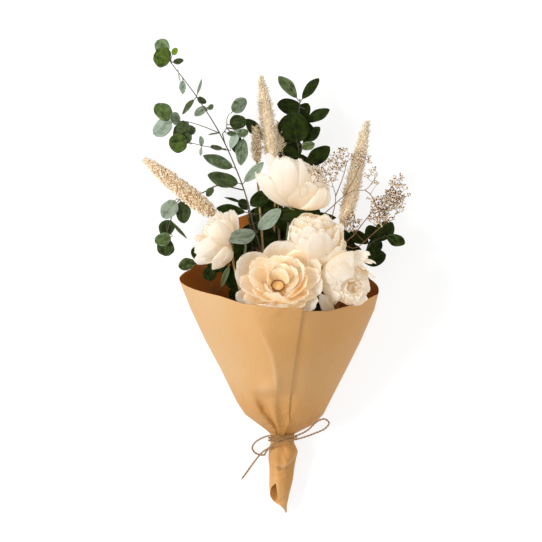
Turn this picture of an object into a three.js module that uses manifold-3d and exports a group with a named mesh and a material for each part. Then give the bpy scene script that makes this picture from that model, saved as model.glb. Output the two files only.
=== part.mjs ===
// A mixed bouquet of dried and preserved flowers, lying on its back on a table: five cream roses, foxtail
// plumes, millet heads, two sprays of small buds and eucalyptus, rolled in one sheet of kraft paper and tied with
// jute twine.
//
// Millimetres, +Z up. The bouquet lies along Y with its flowers towards +Y and its tied tail towards -Y, and
// its front faces up. The origin is the middle of the footprint, on the table.
//
// Places are given as (u, v, z): u and v are where the point appears from above, in millimetres on the table,
// and z is its height over the table. seen() brings such a point to its true place along the line of sight.

import * as THREE from "three";
import { mergeVertices } from "three/addons/utils/BufferGeometryUtils.js";
import Module from "manifold-3d";

const wasm = await Module();
wasm.setup();

// ---------------------------------------------------------------- driving dimensions

const EYE_HEIGHT = 2000; // height of the eye that the outline was taken from
const EYE_X = -3; // the point under that eye
const EYE_Y = 4;
const FOOTPRINT_X = -0.1; // moves the whole bouquet so that its footprint is centred on the origin
const FOOTPRINT_Y = 3.6;

const CLEARANCE = 0.35; // air kept between neighbouring pieces
const PAPER = 0.8; // thickness of the paper's solid
const PAPER_SPIRAL = 1.6; // how far the outer edge of the roll stands off its inner edge
const LEAF = 0.8; // thickness of a leaf's solid
const PETAL = 1.3; // thickness of a petal whorl's solid
const TWINE_RADIUS = 0.9;

const NECK_V = -163; // where the twine ties the roll
const NECK_U = 8.5;
const NECK_Z = 14.3;
const SLOT_X = 3.9; // pitch of the stems side by side in the neck
const SLOT_Z = 3; // pitch of the rows of stems
const STEM_END_V = -203; // cut ends of the stems, inside the paper's tail
const STEM_RADIUS = 1.25;

// ---------------------------------------------------------------- finishes

const finish = (color, roughness) => new THREE.MeshStandardMaterial({ color, roughness, metalness: 0 });
const FINISHES = {
  kraft: finish(0xd2a673, 0.85),
  jute: finish(0x9c7a4e, 0.95),
  cream: finish(0xf3e4cb, 0.8),
  heart: finish(0xe2b874, 0.9),
  wood: finish(0xa88b63, 0.8),
  plume: finish(0xe0c49c, 0.95),
  millet: finish(0xcfa56f, 0.9),
  bud: finish(0xcbb394, 0.9),
  eucalyptus: finish(0x7b8f7c, 0.65),
  greenery: finish(0x2f4426, 0.5),
};

// ---------------------------------------------------------------- placing and joining

function seen(u, v, z) {
  const share = 1 - z / EYE_HEIGHT;
  return new THREE.Vector3(EYE_X + (u - EYE_X) * share, EYE_Y + (v - EYE_Y) * share, z);
}

// A closed three.js geometry as a solid that can be joined and cut.
function solid(geometry) {
  const bare = new THREE.BufferGeometry();
  const flat = geometry.index ? geometry.toNonIndexed() : geometry;
  bare.setAttribute("position", flat.getAttribute("position").clone());
  const merged = mergeVertices(bare, 1e-3);
  const kept = [];
  for (let i = 0; i < merged.index.count; i += 3) {
    const [a, b, c] = [0, 1, 2].map((k) => merged.index.getX(i + k));
    if (a !== b && b !== c && a !== c) kept.push(a, b, c);
  }
  const made = new wasm.Manifold(
    new wasm.Mesh({
      numProp: 3,
      vertProperties: new Float32Array(merged.attributes.position.array),
      triVerts: new Uint32Array(kept),
    }),
  );
  if (made.volume() > 0) return made;
  for (let i = 0; i < kept.length; i += 3) [kept[i + 1], kept[i + 2]] = [kept[i + 2], kept[i + 1]];
  return new wasm.Manifold(
    new wasm.Mesh({
      numProp: 3,
      vertProperties: new Float32Array(merged.attributes.position.array),
      triVerts: new Uint32Array(kept),
    }),
  );
}

const joined = (solids) => solids.reduce((all, next) => all.add(next));

const boxesMeet = (a, b) => [0, 1, 2].every((k) => a.min[k] <= b.max[k] && b.min[k] <= a.max[k]);

const bouquet = new THREE.Group();
const placed = [];

// Adds one named piece. make(grow) gives its solid, made grow millimetres fatter all over, and the piece gives
// way to every piece placed before it.
function place(name, material, make) {
  let body = make(0);
  for (const other of placed) {
    if (boxesMeet(body.boundingBox(), other.box)) body = body.subtract(other.fat);
  }
  const parts = body.decompose().sort((a, b) => b.volume() - a.volume());
  const mesh = parts[0].getMesh();
  const geometry = new THREE.BufferGeometry();
  geometry.setAttribute("position", new THREE.BufferAttribute(new Float32Array(mesh.vertProperties), 3));
  geometry.setIndex(new THREE.BufferAttribute(new Uint32Array(mesh.triVerts), 1));
  geometry.computeVertexNormals();
  const piece = new THREE.Mesh(geometry, FINISHES[material]);
  piece.name = name;
  bouquet.add(piece);
  const fat = make(CLEARANCE);
  placed.push({ fat, box: fat.boundingBox() });
}

// A round tube of steady thickness along a smooth line through the points.
function tube(points, radius, sides, steps) {
  const ring = new THREE.Shape();
  for (let k = 0; k < sides; k++) {
    const turn = (2 * Math.PI * k) / sides;
    const [x, y] = [radius * Math.cos(turn), radius * Math.sin(turn)];
    if (k === 0) ring.moveTo(x, y);
    else ring.lineTo(x, y);
  }
  ring.closePath();
  const route = new THREE.CatmullRomCurve3(points, false, "centripetal");
  return solid(new THREE.ExtrudeGeometry(ring, { extrudePath: route, steps }));
}

// Turns a shape that stands up +Y from its foot so that it stands along an axis from a given foot.
function stand(geometry, foot, axis) {
  const up = new THREE.Vector3(0, 1, 0);
  const turn = new THREE.Quaternion().setFromUnitVectors(up, axis.clone().normalize());
  return geometry.applyMatrix4(new THREE.Matrix4().compose(foot, turn, new THREE.Vector3(1, 1, 1)));
}

// ---------------------------------------------------------------- the paper

// Sections of the roll: v, middle u, half width, lowest, corner and highest z, and how pointed its corners
// are.
const SECTIONS = [
  [-240, 11, 1.5, 9, 11, 13.5, 1],
  [-236, 10.5, 2.4, 8, 11, 14, 1],
  [-231, 6.5, 6.4, 6, 11.5, 17, 1],
  [-225, 5.6, 8.6, 4.5, 12, 19.5, 1],
  [-219, 5.6, 9.8, 3.4, 12.5, 21, 1],
  [-207, 6.6, 11.6, 2.5, 13, 23.5, 1],
  [-194, 7.6, 12.8, 2, 13.4, 25, 1],
  [-184, 8.2, 13.8, 2, 13.8, 26, 1],
  [-176, 9.6, 14.6, 2, 14, 26, 1],
  [-168, 8.8, 12.3, 3.6, 14.3, 25.2, 1],
  [-159, 8.8, 12.3, 3.6, 14.5, 25.6, 1],
  [-154, 11, 20, 0, 17, 33, 1],
  [-149, 12.8, 28.8, -3, 20, 44, 1.1],
  [-139, 10.5, 40, -5, 24, 62, 1.2],
  [-126, 9.6, 47.4, -7, 28, 77, 1.3],
  [-93, 10, 64, -9, 34, 102, 1.4],
  [-65, 9.5, 78.5, -10, 38, 123, 1.45],
  [-34, 9, 92.5, -11, 42, 145, 1.5],
  [-6, 7, 101.5, -12, 45, 160, 1.5],
  [66, 4, 116, -14, 50, 190, 1.5],
];

function section(v) {
  let k = 1;
  while (k < SECTIONS.length - 1 && SECTIONS[k][0] < v) k++;
  const [low, high] = [SECTIONS[k - 1], SECTIONS[k]];
  const share = (v - low[0]) / (high[0] - low[0]);
  return low.map((value, n) => value + (high[n] - value) * share);
}

// The v of the rim by how far round the sheet it is, and of the cut tail by its place round the roll, both in
// degrees.
const RIM = [
  [0, -33], [13, -33], [23, -32], [38, -28.5], [53, -21], [73, -15], [88, -10], [103, -4.5],
  [118, 0.5], [133, 6], [158, 48], [185, 66], [213, 60], [240, 12], [255, -4], [272, -12],
  [283, -18], [298, -20.5], [313, -25], [328, -31], [343, -36], [360, -36], [405, -46],
];
const TAIL_END = [
  [0, -236], [60, -238], [92, -230], [114, -208], [150, -213], [180, -221], [225, -227],
  [270, -231], [315, -235], [360, -236],
];

// A table's second number at a place in its first.
function along(table, place) {
  let k = 1;
  while (table[k][0] < place) k++;
  const [low, high] = [table[k - 1], table[k]];
  return low[1] + ((high[1] - low[1]) * (place - low[0])) / (high[0] - low[0]);
}

const SEAM_TURN = 77; // where the sheet's outer edge lies on the front, in degrees
const SHEET_TURN = 405; // how far the sheet goes round, so that its last 45 degrees lie under its outer edge
const SHEET_COLUMNS = 32;
const TAIL_ROWS = [0, 0.3, 0.65]; // shares of the way from the cut tail to the neck
const NECK_ROWS = [-168, -159, -154, -149, -139, -122, -96, -70];
const RIM_ROWS = [0.34, 0.67, 1]; // shares of the way from the last neck row to the rim
const SHEET_ROWS = TAIL_ROWS.length + NECK_ROWS.length + RIM_ROWS.length - 1;

function rowPlace(row, turn) {
  const tail = along(TAIL_END, (SEAM_TURN + turn) % 360);
  if (row < TAIL_ROWS.length) return THREE.MathUtils.lerp(tail, NECK_ROWS[0], TAIL_ROWS[row]);
  const past = row - TAIL_ROWS.length;
  if (past < NECK_ROWS.length) return NECK_ROWS[past];
  return THREE.MathUtils.lerp(NECK_ROWS.at(-1), along(RIM, turn), RIM_ROWS[past - NECK_ROWS.length]);
}

// The sheet's point after a turn in degrees from its outer edge, on a row, and an inset into the roll.
function paperPoint(turn, row, inset) {
  const v = rowPlace(row, turn);
  const [, middle, half, low, corner, top, pointed] = section(v);
  const off = -PAPER_SPIRAL * (turn / SHEET_TURN) - inset;
  const angle = THREE.MathUtils.degToRad(SEAM_TURN + turn);
  const rise = Math.pow(Math.abs(Math.sin(angle)), pointed);
  const z = Math.sin(angle) > 0 ? corner + (top - corner + off) * rise : corner - (corner - low + off) * rise;
  return seen(middle + (half + off) * Math.cos(angle), v, low < 0 ? Math.max(z, inset) : z);
}

// A closed sheet between a grid of points on its outer face and the same grid on its inner face.
function sheet(point, columns, rows, thickness) {
  const faces = [];
  const quad = (a, b, c, d) => faces.push(a, b, c, a, c, d);
  const outer = (i, j) => point(i / columns, j, 0);
  const inner = (i, j) => point(i / columns, j, thickness);
  for (let i = 0; i < columns; i++) {
    for (let j = 0; j < rows; j++) {
      quad(outer(i, j), outer(i, j + 1), outer(i + 1, j + 1), outer(i + 1, j));
      quad(inner(i, j), inner(i + 1, j), inner(i + 1, j + 1), inner(i, j + 1));
    }
    quad(outer(i, 0), outer(i + 1, 0), inner(i + 1, 0), inner(i, 0));
    quad(outer(i, rows), inner(i, rows), inner(i + 1, rows), outer(i + 1, rows));
  }
  for (let j = 0; j < rows; j++) {
    quad(outer(0, j), inner(0, j), inner(0, j + 1), outer(0, j + 1));
    quad(outer(columns, j), outer(columns, j + 1), inner(columns, j + 1), inner(columns, j));
  }
  return solid(new THREE.BufferGeometry().setFromPoints(faces));
}

place("kraft_paper_wrap", "kraft", (grow) =>
  sheet(
    (across, row, inset) => paperPoint(across * SHEET_TURN, row, inset === 0 ? -grow : inset + grow),
    SHEET_COLUMNS,
    SHEET_ROWS,
    PAPER,
  ),
);

// ---------------------------------------------------------------- the twine

// Two turns round the neck, then the bow: left loop, right loop and the long end that lies on the table.
const TWINE_TURN_STEPS = 10;
const TWINE_TURNS = 2;
const TWINE_PITCH = 2.5; // from one turn to the next, along the neck
const TWINE_STAND_OFF = 1.7; // from the paper to the twine's middle
const BOW = [
  [1.5, -160.2, 28.2],
  [-6, -160.9, 25],
  [-13, -163.5, 19],
  [-19.5, -168, 11],
  [-21.8, -173.5, 5],
  [-18, -178.4, 2.6],
  [-10.5, -180, 4.6],
  [-8.2, -177, 12],
  [-3.6, -171.5, 22.5],
  [3, -166, 30.2],
  [11, -163, 31.6],
  [24, -160, 32.4],
  [34, -154.8, 34.5],
  [43, -146.5, 38],
  [50.5, -144, 38.5],
  [55, -148, 37],
  [51, -153.5, 34.6],
  [40, -158.6, 33.6],
  [25, -163.6, 34.4],
  [12, -165.9, 35],
  [3, -168.6, 33.6],
  [-4.5, -172.6, 27],
  [-11, -176.6, 18],
  [-16.5, -182.5, 8.5],
  [-22.5, -190.5, 2.6],
  [-31.5, -203, 1.2],
];

function twineRoute() {
  const points = [];
  for (let k = 0; k <= TWINE_TURNS * TWINE_TURN_STEPS; k++) {
    const turn = (k / TWINE_TURN_STEPS) * 2 * Math.PI;
    const v = NECK_V - 3 + (TWINE_PITCH * k) / TWINE_TURN_STEPS;
    const [, middle, half, low, corner, top] = section(NECK_V);
    const u = middle - (half + TWINE_STAND_OFF) * Math.sin(turn);
    const reach = Math.cos(turn) > 0 ? top - corner : corner - low;
    points.push(seen(u, v, corner + (reach + TWINE_STAND_OFF) * Math.cos(turn)));
  }
  return points.concat(BOW.map(([u, v, z]) => seen(u, v, z)));
}

place("twine_bow", "jute", (grow) => tube(twineRoute(), TWINE_RADIUS + grow, 8, 80));

// ---------------------------------------------------------------- stems

// A stem runs straight through the neck at its own slot (side by side, row) and then out to its head.
function stemRoute([column, row], points) {
  const [x, z] = [column * SLOT_X, row * SLOT_Z];
  return [
    seen(NECK_U - 0.5 + x * 0.92, STEM_END_V, NECK_Z - 1.3 + z * 0.87),
    seen(NECK_U + x, NECK_V - 8, NECK_Z + z),
    seen(NECK_U + x * 1.02, NECK_V + 4, NECK_Z + z * 1.02),
    ...points.map(([u, v, h]) => seen(u, v, h)),
  ];
}

// ---------------------------------------------------------------- roses

// Each whorl is a cup of overlapping petals, given as [radius, height] in shares of the rose's radius.
const WHORLS = {
  open: {
    outer: [[0.12, 0], [0.5, 0.06], [0.85, 0.32], [1, 0.62]],
    inner: [[0.1, 0.13], [0.36, 0.2], [0.58, 0.42], [0.66, 0.74]],
    heart: [[0.06, 0.3], [0.15, 0.31], [0.17, 0.4], [0.1, 0.46]],
  },
  globe: {
    outer: [[0.14, 0], [0.62, 0.14], [0.96, 0.6], [0.97, 1.1], [0.82, 1.45]],
    inner: [[0.1, 0.18], [0.42, 0.26], [0.68, 0.62], [0.7, 1.05], [0.55, 1.36]],
    heart: [[0.08, 0.42], [0.3, 0.52], [0.38, 0.85], [0.2, 1.16]],
  },
  dome: {
    outer: [[0.14, 0], [0.62, 0.14], [0.96, 0.6], [1, 1.05], [0.86, 1.5], [0.62, 1.8]],
    inner: [[0.1, 0.18], [0.42, 0.26], [0.72, 0.62], [0.76, 1.1], [0.62, 1.52], [0.42, 1.78]],
    heart: [[0.08, 0.42], [0.3, 0.52], [0.46, 0.95], [0.4, 1.38], [0.2, 1.62]],
  },
  tulip: {
    outer: [[0.14, 0], [0.6, 0.16], [0.94, 0.62], [1, 1.15], [0.86, 1.6]],
    inner: [[0.1, 0.18], [0.42, 0.26], [0.7, 0.68], [0.74, 1.1], [0.62, 1.42]],
    heart: [[0.08, 0.42], [0.3, 0.52], [0.38, 0.85], [0.2, 1.16]],
  },
  cup: {
    outer: [[0.14, 0], [0.62, 0.16], [0.95, 0.52], [1.02, 0.9], [1, 1.2]],
    inner: [[0.1, 0.18], [0.42, 0.26], [0.68, 0.56], [0.74, 1]],
    heart: [[0.08, 0.4], [0.3, 0.5], [0.34, 0.72], [0.16, 0.95]],
  },
};
const PETALS_ROUND = 20;
const LOBE = 0.05; // how far the petals' tips wave out and up, as a share of the rose

// A whorl stands up +Y. Its rim is scalloped by its petals' tips.
function whorl(profile, radius, petals, grow) {
  const rim = profile.length - 1;
  const out = profile.map(([r, h], k) => {
    const height = h * radius + (k === rim ? grow : -grow);
    return new THREE.Vector2(r * radius + grow, height);
  });
  const back = profile
    .map(([r, h], k) => {
      const width = Math.max(r * radius - PETAL - grow, 0.5);
      return new THREE.Vector2(width, h * radius + PETAL * 0.4 + grow * (k === rim ? 2 : 1));
    })
    .reverse();
  const lift = PETAL + grow;
  const outline = [
    new THREE.Vector2(0, out[0].y),
    ...out,
    ...back.slice(0, -1),
    new THREE.Vector2(0, profile[0][1] * radius + lift),
  ];
  const geometry = new THREE.LatheGeometry(outline, PETALS_ROUND);
  const at = geometry.getAttribute("position");
  const top = profile[profile.length - 1][1] * radius;
  for (let i = 0; i < at.count; i++) {
    const [x, y, z] = [at.getX(i), at.getY(i), at.getZ(i)];
    const share = Math.pow(THREE.MathUtils.clamp(y / top, 0, 1), 3);
    const lobe = Math.hypot(x, z) > 0.01 ? Math.cos(petals * Math.atan2(z, x)) : 0;
    const wave = LOBE * lobe * share;
    at.setXYZ(i, x * (1 + wave), y + radius * wave, z * (1 + wave));
  }
  return geometry;
}

// A solid of revolution that stands up +Y, from [radius, height] in millimetres.
function turned(profile, sides, grow) {
  const last = profile.length - 1;
  const wall = profile.map(([r, h], k) => {
    const end = k === 0 ? -grow : k === last ? grow : 0;
    return new THREE.Vector2(r + grow, h + end);
  });
  const [bottom, top] = [new THREE.Vector2(0, wall[0].y), new THREE.Vector2(0, wall[last].y)];
  return new THREE.LatheGeometry([bottom, ...wall, top], sides);
}

// Each rose: its style, radius, foot as seen, the way it faces, its stem's slot and the stem's way from neck to
// foot.
const ROSES = {
  front: {
    style: "open",
    radius: 44,
    foot: [4.5, -21, 88],
    faces: [-0.03, 0.6, 0.8],
    slot: [0, 2],
    way: [[6, -70, 56]],
  },
  right: {
    style: "globe",
    radius: 25.5,
    foot: [67, 8, 64],
    faces: [0.27, -0.45, 0.85],
    slot: [1, 2],
    way: [[42, -62, 46], [60, -10, 52]],
  },
  mid: {
    style: "dome",
    radius: 27.5,
    foot: [43, 26, 42],
    faces: [0.08, 0.3, 0.95],
    slot: [0.5, 1],
    way: [[26, -60, 30]],
  },
  top: {
    style: "tulip",
    radius: 29,
    foot: [19, 68, 60],
    faces: [0.1, 0.93, 0.3],
    slot: [-0.5, 1],
    way: [[6, -60, 42], [12, 20, 48]],
  },
  left: {
    style: "cup",
    radius: 27.5,
    foot: [-42, 36.5, 76],
    faces: [-0.97, -0.06, 0.22],
    slot: [-1, 2],
    way: [[-12, -62, 52], [-29, 8, 70]],
  },
};

const RECEPTACLE = [[1.3, -3.4], [3.6, -1.2], [4.4, -0.5]]; // the green cup between stem and petals

for (const [name, rose] of Object.entries(ROSES)) {
  const axis = new THREE.Vector3(...rose.faces).normalize();
  const foot = seen(...rose.foot);
  const under = foot.clone().addScaledVector(axis, -3);
  const before = foot.clone().addScaledVector(axis, -12);
  place(`rose_${name}_stem`, "wood", (grow) => {
    const route = stemRoute(rose.slot, rose.way).concat([before, under]);
    const cup = solid(stand(turned(RECEPTACLE, 10, grow), foot.clone(), axis));
    return tube(route, STEM_RADIUS + grow, 6, 9 + 2 * rose.way.length).add(cup);
  });
  for (const [ring, petals] of [["outer", 5], ["inner", 6]]) {
    place(`rose_${name}_${ring}_petals`, "cream", (grow) =>
      solid(stand(whorl(WHORLS[rose.style][ring], rose.radius, petals, grow), foot.clone(), axis)),
    );
  }
  place(`rose_${name}_heart`, "heart", (grow) => {
    const profile = WHORLS[rose.style].heart.map(([r, h]) => [r * rose.radius, h * rose.radius]);
    return solid(stand(turned(profile, 12, grow), foot.clone(), axis));
  });
}

// ---------------------------------------------------------------- plumes and millet

// Each head: its base and tip as seen, its greatest radius, its stem's slot and the stem's way from neck to
// base.
const HEADS = {
  millet_left: {
    kind: "millet",
    base: [-61, 61, 47],
    tip: [-131.5, 117.3, 58],
    radius: 8,
    slot: [-1.5, 1],
    way: [[-14, -90, 32], [-38, 0, 44]],
  },
  plume_centre: {
    kind: "plume",
    base: [-1, 114, 47],
    tip: [-13.4, 199.5, 60],
    radius: 8.5,
    slot: [0, 0],
    way: [[2, -60, 34], [0, 40, 36]],
  },
  plume_short: {
    kind: "plume",
    base: [3, 106, 36],
    tip: [5, 153, 44],
    radius: 6.5,
    slot: [0.5, -1],
    way: [[8, -60, 24], [5, 40, 28]],
  },
  plume_right: {
    kind: "plume",
    base: [70, 50, 49],
    tip: [94, 155.5, 60],
    radius: 8.5,
    slot: [2, 0],
    way: [[44, -70, 30], [64, 10, 37]],
  },
  millet_small: {
    kind: "millet",
    base: [-17, 114, 48],
    tip: [-18.2, 149, 52],
    radius: 4.4,
    slot: [-0.5, -1],
    way: [[-4, -60, 32], [-12, 40, 41]],
  },
};
const HEAD_PROFILE = [[0.35, 0], [0.85, 0.1], [1, 0.32], [0.92, 0.62], [0.6, 0.86], [0.16, 1]];

for (const [name, head] of Object.entries(HEADS)) {
  const [base, tip] = [seen(...head.base), seen(...head.tip)];
  const axis = tip.clone().sub(base);
  const long = axis.length();
  axis.normalize();
  const under = base.clone().addScaledVector(axis, -CLEARANCE - 0.1);
  const before = base.clone().addScaledVector(axis, -14);
  place(`${name}_stem`, "wood", (grow) => {
    const route = stemRoute(head.slot, head.way).concat([before, under]);
    return tube(route, STEM_RADIUS + grow, 6, 9 + 2 * head.way.length);
  });
  place(`${name}_head`, head.kind, (grow) => {
    const profile = HEAD_PROFILE.map(([r, h]) => [r * head.radius, h * long]);
    return solid(stand(turned(profile, 10, grow), base.clone(), axis));
  });
}

// ---------------------------------------------------------------- leaves

// A leaf as a row: where it leaves its stem and its tip, both as seen, its width and its roll about its
// length.
function leaf([u0, v0, z0, u1, v1, z1, width, roll = 0], grow) {
  const [from, to] = [seen(u0, v0, z0), seen(u1, v1, z1)];
  const along = to.clone().sub(from);
  const long = along.length();
  along.normalize();
  const side = new THREE.Vector3(0, 0, 1).cross(along).normalize();
  side.applyAxisAngle(along, THREE.MathUtils.degToRad(roll));
  const face = new THREE.Vector3().crossVectors(along, side).normalize();
  const half = width / 2 + grow;
  const outline = new THREE.Shape();
  outline.moveTo(-0.6 - grow, -0.6 - grow);
  outline.lineTo(0.4 * long, -half * 0.95);
  outline.lineTo(0.74 * long, -half * 0.85);
  outline.lineTo(long + grow, 0);
  outline.lineTo(0.74 * long, half * 0.85);
  outline.lineTo(0.4 * long, half * 0.95);
  outline.lineTo(-0.6 - grow, 0.6 + grow);
  outline.closePath();
  const depth = LEAF + 2 * grow;
  const plate = new THREE.ExtrudeGeometry(outline, { depth, steps: 1, bevelEnabled: false });
  plate.translate(0, 0, -depth / 2);
  plate.applyMatrix4(new THREE.Matrix4().makeBasis(along, side, face).setPosition(from));
  return solid(plate);
}

// A branch's line, and for every leaf that starts off the line a stalk from the nearest point of the line.
const STALK_RADIUS = 0.5;
const JOINTS = 120; // points along the line that a stalk can leave from

function branchParts(route, branch, sides, steps, grow) {
  const parts = [tube(route, branch.radius + grow, sides, steps)];
  const joints = new THREE.CatmullRomCurve3(route, false, "centripetal").getSpacedPoints(JOINTS);
  for (const row of branch.leaves) {
    const foot = seen(...row.slice(0, 3));
    const nearer = (best, point) => (point.distanceTo(foot) < best.distanceTo(foot) ? point : best);
    const joint = joints.reduce(nearer);
    if (joint.distanceTo(foot) > branch.radius) parts.push(tube([joint, foot], STALK_RADIUS + grow, 5, 1));
    parts.push(leaf(row, grow));
  }
  return parts;
}

// Each branch: either a slot in the neck or the point of the branch that carries it, its line and its leaves.
const BRANCHES = {
  eucalyptus_main: {
    slot: [-1, 0],
    radius: 1.2,
    line: [
      [-2, -90, 34], [-9, -20, 49], [-13.4, 25.4, 58], [-19, 43.5, 63], [-28.7, 81, 66],
      [-41, 113.4, 68], [-54.5, 142, 68], [-77.5, 178.5, 64], [-103.5, 213, 57],
    ],
    leaves: [
      [-16, 43, 66, -45, 33.5, 92, 15, -12], [-18, 43.5, 63, 6.8, 66, 66, 14, 10],
      [-32.5, 91, 66.5, -67, 99, 62, 15, -14], [-38, 106.5, 68, -71.5, 118.5, 66, 13, 16],
      [-31.5, 91, 66.5, -11, 113, 72, 10, 20], [-50, 125, 68, -63, 130, 64, 5, 50],
      [-54, 142, 68, -66, 140.5, 66, 3, 60], [-66, 168, 66, -80, 160, 60, 9.5, 28],
      [-66, 165, 66, -61, 170.5, 68, 5, 0], [-78.5, 177, 64, -92.5, 161.5, 60, 7, 30],
      [-77.5, 179, 64, -72, 196, 68, 3.5, 40], [-77.5, 178, 64, -68, 171.5, 62, 6.5, 0],
      [-91, 196, 60, -92, 181, 55, 7.5, 20], [-102, 212.5, 57, -90.5, 215, 58, 6, 20],
      [-102, 214, 57, -120, 221, 58, 20, 8], [-106, 221, 56, -117, 235, 52, 15, 0],
      [-102, 219.5, 58, -97, 227, 58, 6, 0], [-96, 205, 59, -94, 193, 64, 2.2, 60],
    ],
  },
  eucalyptus_twig_upper_left: {
    from: [-54.5, 142, 68],
    radius: 0.6,
    line: [
      [-72, 149, 67], [-88, 153.6, 66], [-98, 154, 64],
    ],
    leaves: [
      [-101, 155, 64, -119, 170.5, 64, 16, 0], [-100, 154, 65, -121.5, 142, 60, 17, 8],
      [-93, 153, 65, -104, 159, 72, 12, 20], [-90, 152, 66, -95, 133, 58, 17, 10],
      [-86, 150, 66, -98, 146, 68, 12, 0], [-88, 149, 64, -80, 141, 62, 10, 0],
      [-92, 154, 66, -86, 144, 70, 9, 20],
    ],
  },
  eucalyptus_twig_lower_left: {
    from: [-48, 126, 68],
    radius: 0.6,
    line: [
      [-70, 129, 68], [-86, 133, 68],
    ],
    leaves: [
      [-85, 134, 68, -105, 130, 66, 19, 0], [-84, 131, 67, -92, 142, 66, 12, 0],
      [-72, 128.5, 68, -73, 139, 74, 5.5, 30], [-72, 128.5, 68, -74, 119, 62, 4, 40],
      [-50, 125.5, 68, -64, 129, 66, 5.5, 20],
    ],
  },
  eucalyptus_twig_right: {
    from: [-51.5, 141.5, 68],
    radius: 0.6,
    line: [
      [-47.5, 147, 72], [-47, 157, 75], [-44, 162, 76],
    ],
    leaves: [
      [-43, 162, 76, -28, 176, 78, 13, 0], [-46, 150, 75, -28, 156, 76, 14, 6],
      [-38, 141, 73, -25.5, 142.5, 74, 8.5, 0], [-44, 124, 69, -36, 147.5, 72, 9, -20],
      [-40, 145, 68, -36, 121, 62, 12, 0], [-30, 139, 70, -35, 110, 68, 13, 12],
      [-48, 142, 70, -38, 141, 72, 5, 0],
    ],
  },
  eucalyptus_twig_drooping: {
    from: [-31, 85, 66],
    radius: 0.8,
    line: [
      [-56, 89.5, 56], [-72, 82, 44], [-96, 74, 40], [-103, 56, 40], [-107, 42, 38],
    ],
    leaves: [
      [-60, 88, 52, -68, 79, 48, 7, 0], [-97.5, 76, 40, -111, 57, 44, 16, 0],
      [-94, 76, 40, -88, 52, 36, 15, -10], [-103.5, 55, 40, -87, 36, 34, 4.5, 40],
      [-106, 38, 39, -109, 55, 34, 16, 0], [-107, 38, 38, -110, 19, 32, 18, 8],
      [-101.5, 39, 42, -119, 32.5, 43, 13, 0],
    ],
  },
  greenery_top: {
    slot: [0, -2],
    radius: 1.3,
    line: [
      [14, -80, 14], [22, -10, 22], [24, 60, 28], [25, 110, 34], [24, 145, 40], [26, 176, 44],
    ],
    leaves: [
      [25, 174, 44, 6, 200, 46, 12, 10], [26, 173, 44, 44, 197.5, 48, 10.5, -10],
      [32, 166, 40, 3, 170, 42, 16, 4], [28, 152, 41, 56, 164.5, 48, 12, -12],
      [24, 128, 40, 17, 162, 52, 30, 0], [27, 130, 37, 45.5, 148, 44, 11.5, 0],
      [26, 126, 36, 40, 132, 46, 9, 10], [30, 116, 35, 1, 126, 44, 17, 8],
      [28, 107, 34, 56.5, 127, 38, 16, 0], [24, 112, 34, 10, 138, 34, 24, 0],
      [26, 140, 36, 36, 152, 34, 20, 0], [-8, 132, 40, -27, 157, 42, 12, 0],
      [22, 100, 34, 30, 120, 32, 24, 0], [22, 150, 38, 34, 172, 38, 14, 0],
    ],
  },
  greenery_right: {
    slot: [1.5, -1],
    radius: 1.2,
    line: [
      [50, -66, 18], [80, -4, 24], [97, 32, 32], [110, 38, 36],
    ],
    leaves: [
      [98, 33, 32, 119, 52, 34, 18, 0], [110, 40, 36, 130.5, 30.5, 38, 12, 0],
      [91, 20, 29, 108, 34, 26, 15, 0], [86, 13, 28, 112.5, 18.8, 24, 16, 0],
      [97, 30, 32, 76, 44, 28, 13, 0], [90, 14, 30, 72, 28, 26, 16, 0],
      [100, 32, 30, 96, 50, 30, 13, 0], [84, 8, 26, 62, 50, 22, 18, 0],
    ],
  },
  greenery_left: {
    slot: [-2, 0],
    radius: 1.2,
    line: [
      [-28, -90, 26], [-56, -30, 34], [-70, 8, 38], [-78, 14, 39],
    ],
    leaves: [
      [-76, 14, 39, -95.5, 8, 40, 12, 10], [-74, 14, 38.5, -81, 27, 44, 10, 0],
      [-70, 8, 38, -60, -4, 42, 14, 0], [-54, -15, 36, -45, 9, 50, 6, 12],
      [-68, 4, 36, -48, 18, 36, 18, 0],
    ],
  },
  greenery_inner: {
    slot: [-1.5, -1],
    radius: 1.1,
    line: [
      [-18, -90, 18], [-22, -20, 24], [-22, 30, 32], [-26, 66, 44],
    ],
    leaves: [
      [-22, 26, 31, -2, 52, 36, 20, 0], [-25, 62, 42, -57, 68, 50, 11, 0],
      [-26, 68, 44, -6, 82, 50, 15, 0], [-21, -12, 26, -38, -26, 38, 16, 0],
      [-22, 4, 28, -40, 22, 34, 18, 0], [-22, 0, 27, 4, 20, 34, 20, 0],
      [-22, 40, 33, 2, 34, 38, 22, 0], [-23, 46, 35, -12, 66, 38, 18, 0],
      [-21, -16, 26, 2, 4, 36, 22, 0], [-21, 18, 29, -44, 12, 34, 18, 0],
      [-22, 36, 33, -42, 31, 36, 14, 0], [-22, 34, 32, 2, 54, 34, 16, 0],
      [-24, 58, 40, 4, 70, 42, 16, 0], [-25, 64, 43, -34, 76, 40, 10, 0],
      [-26, 70, 44, -49, 78, 52, 3.5, 40],
    ],
  },
};

for (const [name, branch] of Object.entries(BRANCHES)) {
  place(name, name.startsWith("eucalyptus") ? "eucalyptus" : "greenery", (grow) => {
    const twig = [branch.from, ...branch.line];
    const route = branch.slot ? stemRoute(branch.slot, branch.line) : twig.map(([u, v, z]) => seen(u, v, z));
    const steps = 2 * branch.line.length + (branch.slot ? 8 : 2);
    return joined(branchParts(route, branch, branch.slot ? 6 : 5, steps, grow));
  });
}

// ---------------------------------------------------------------- sprays of buds

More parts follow.
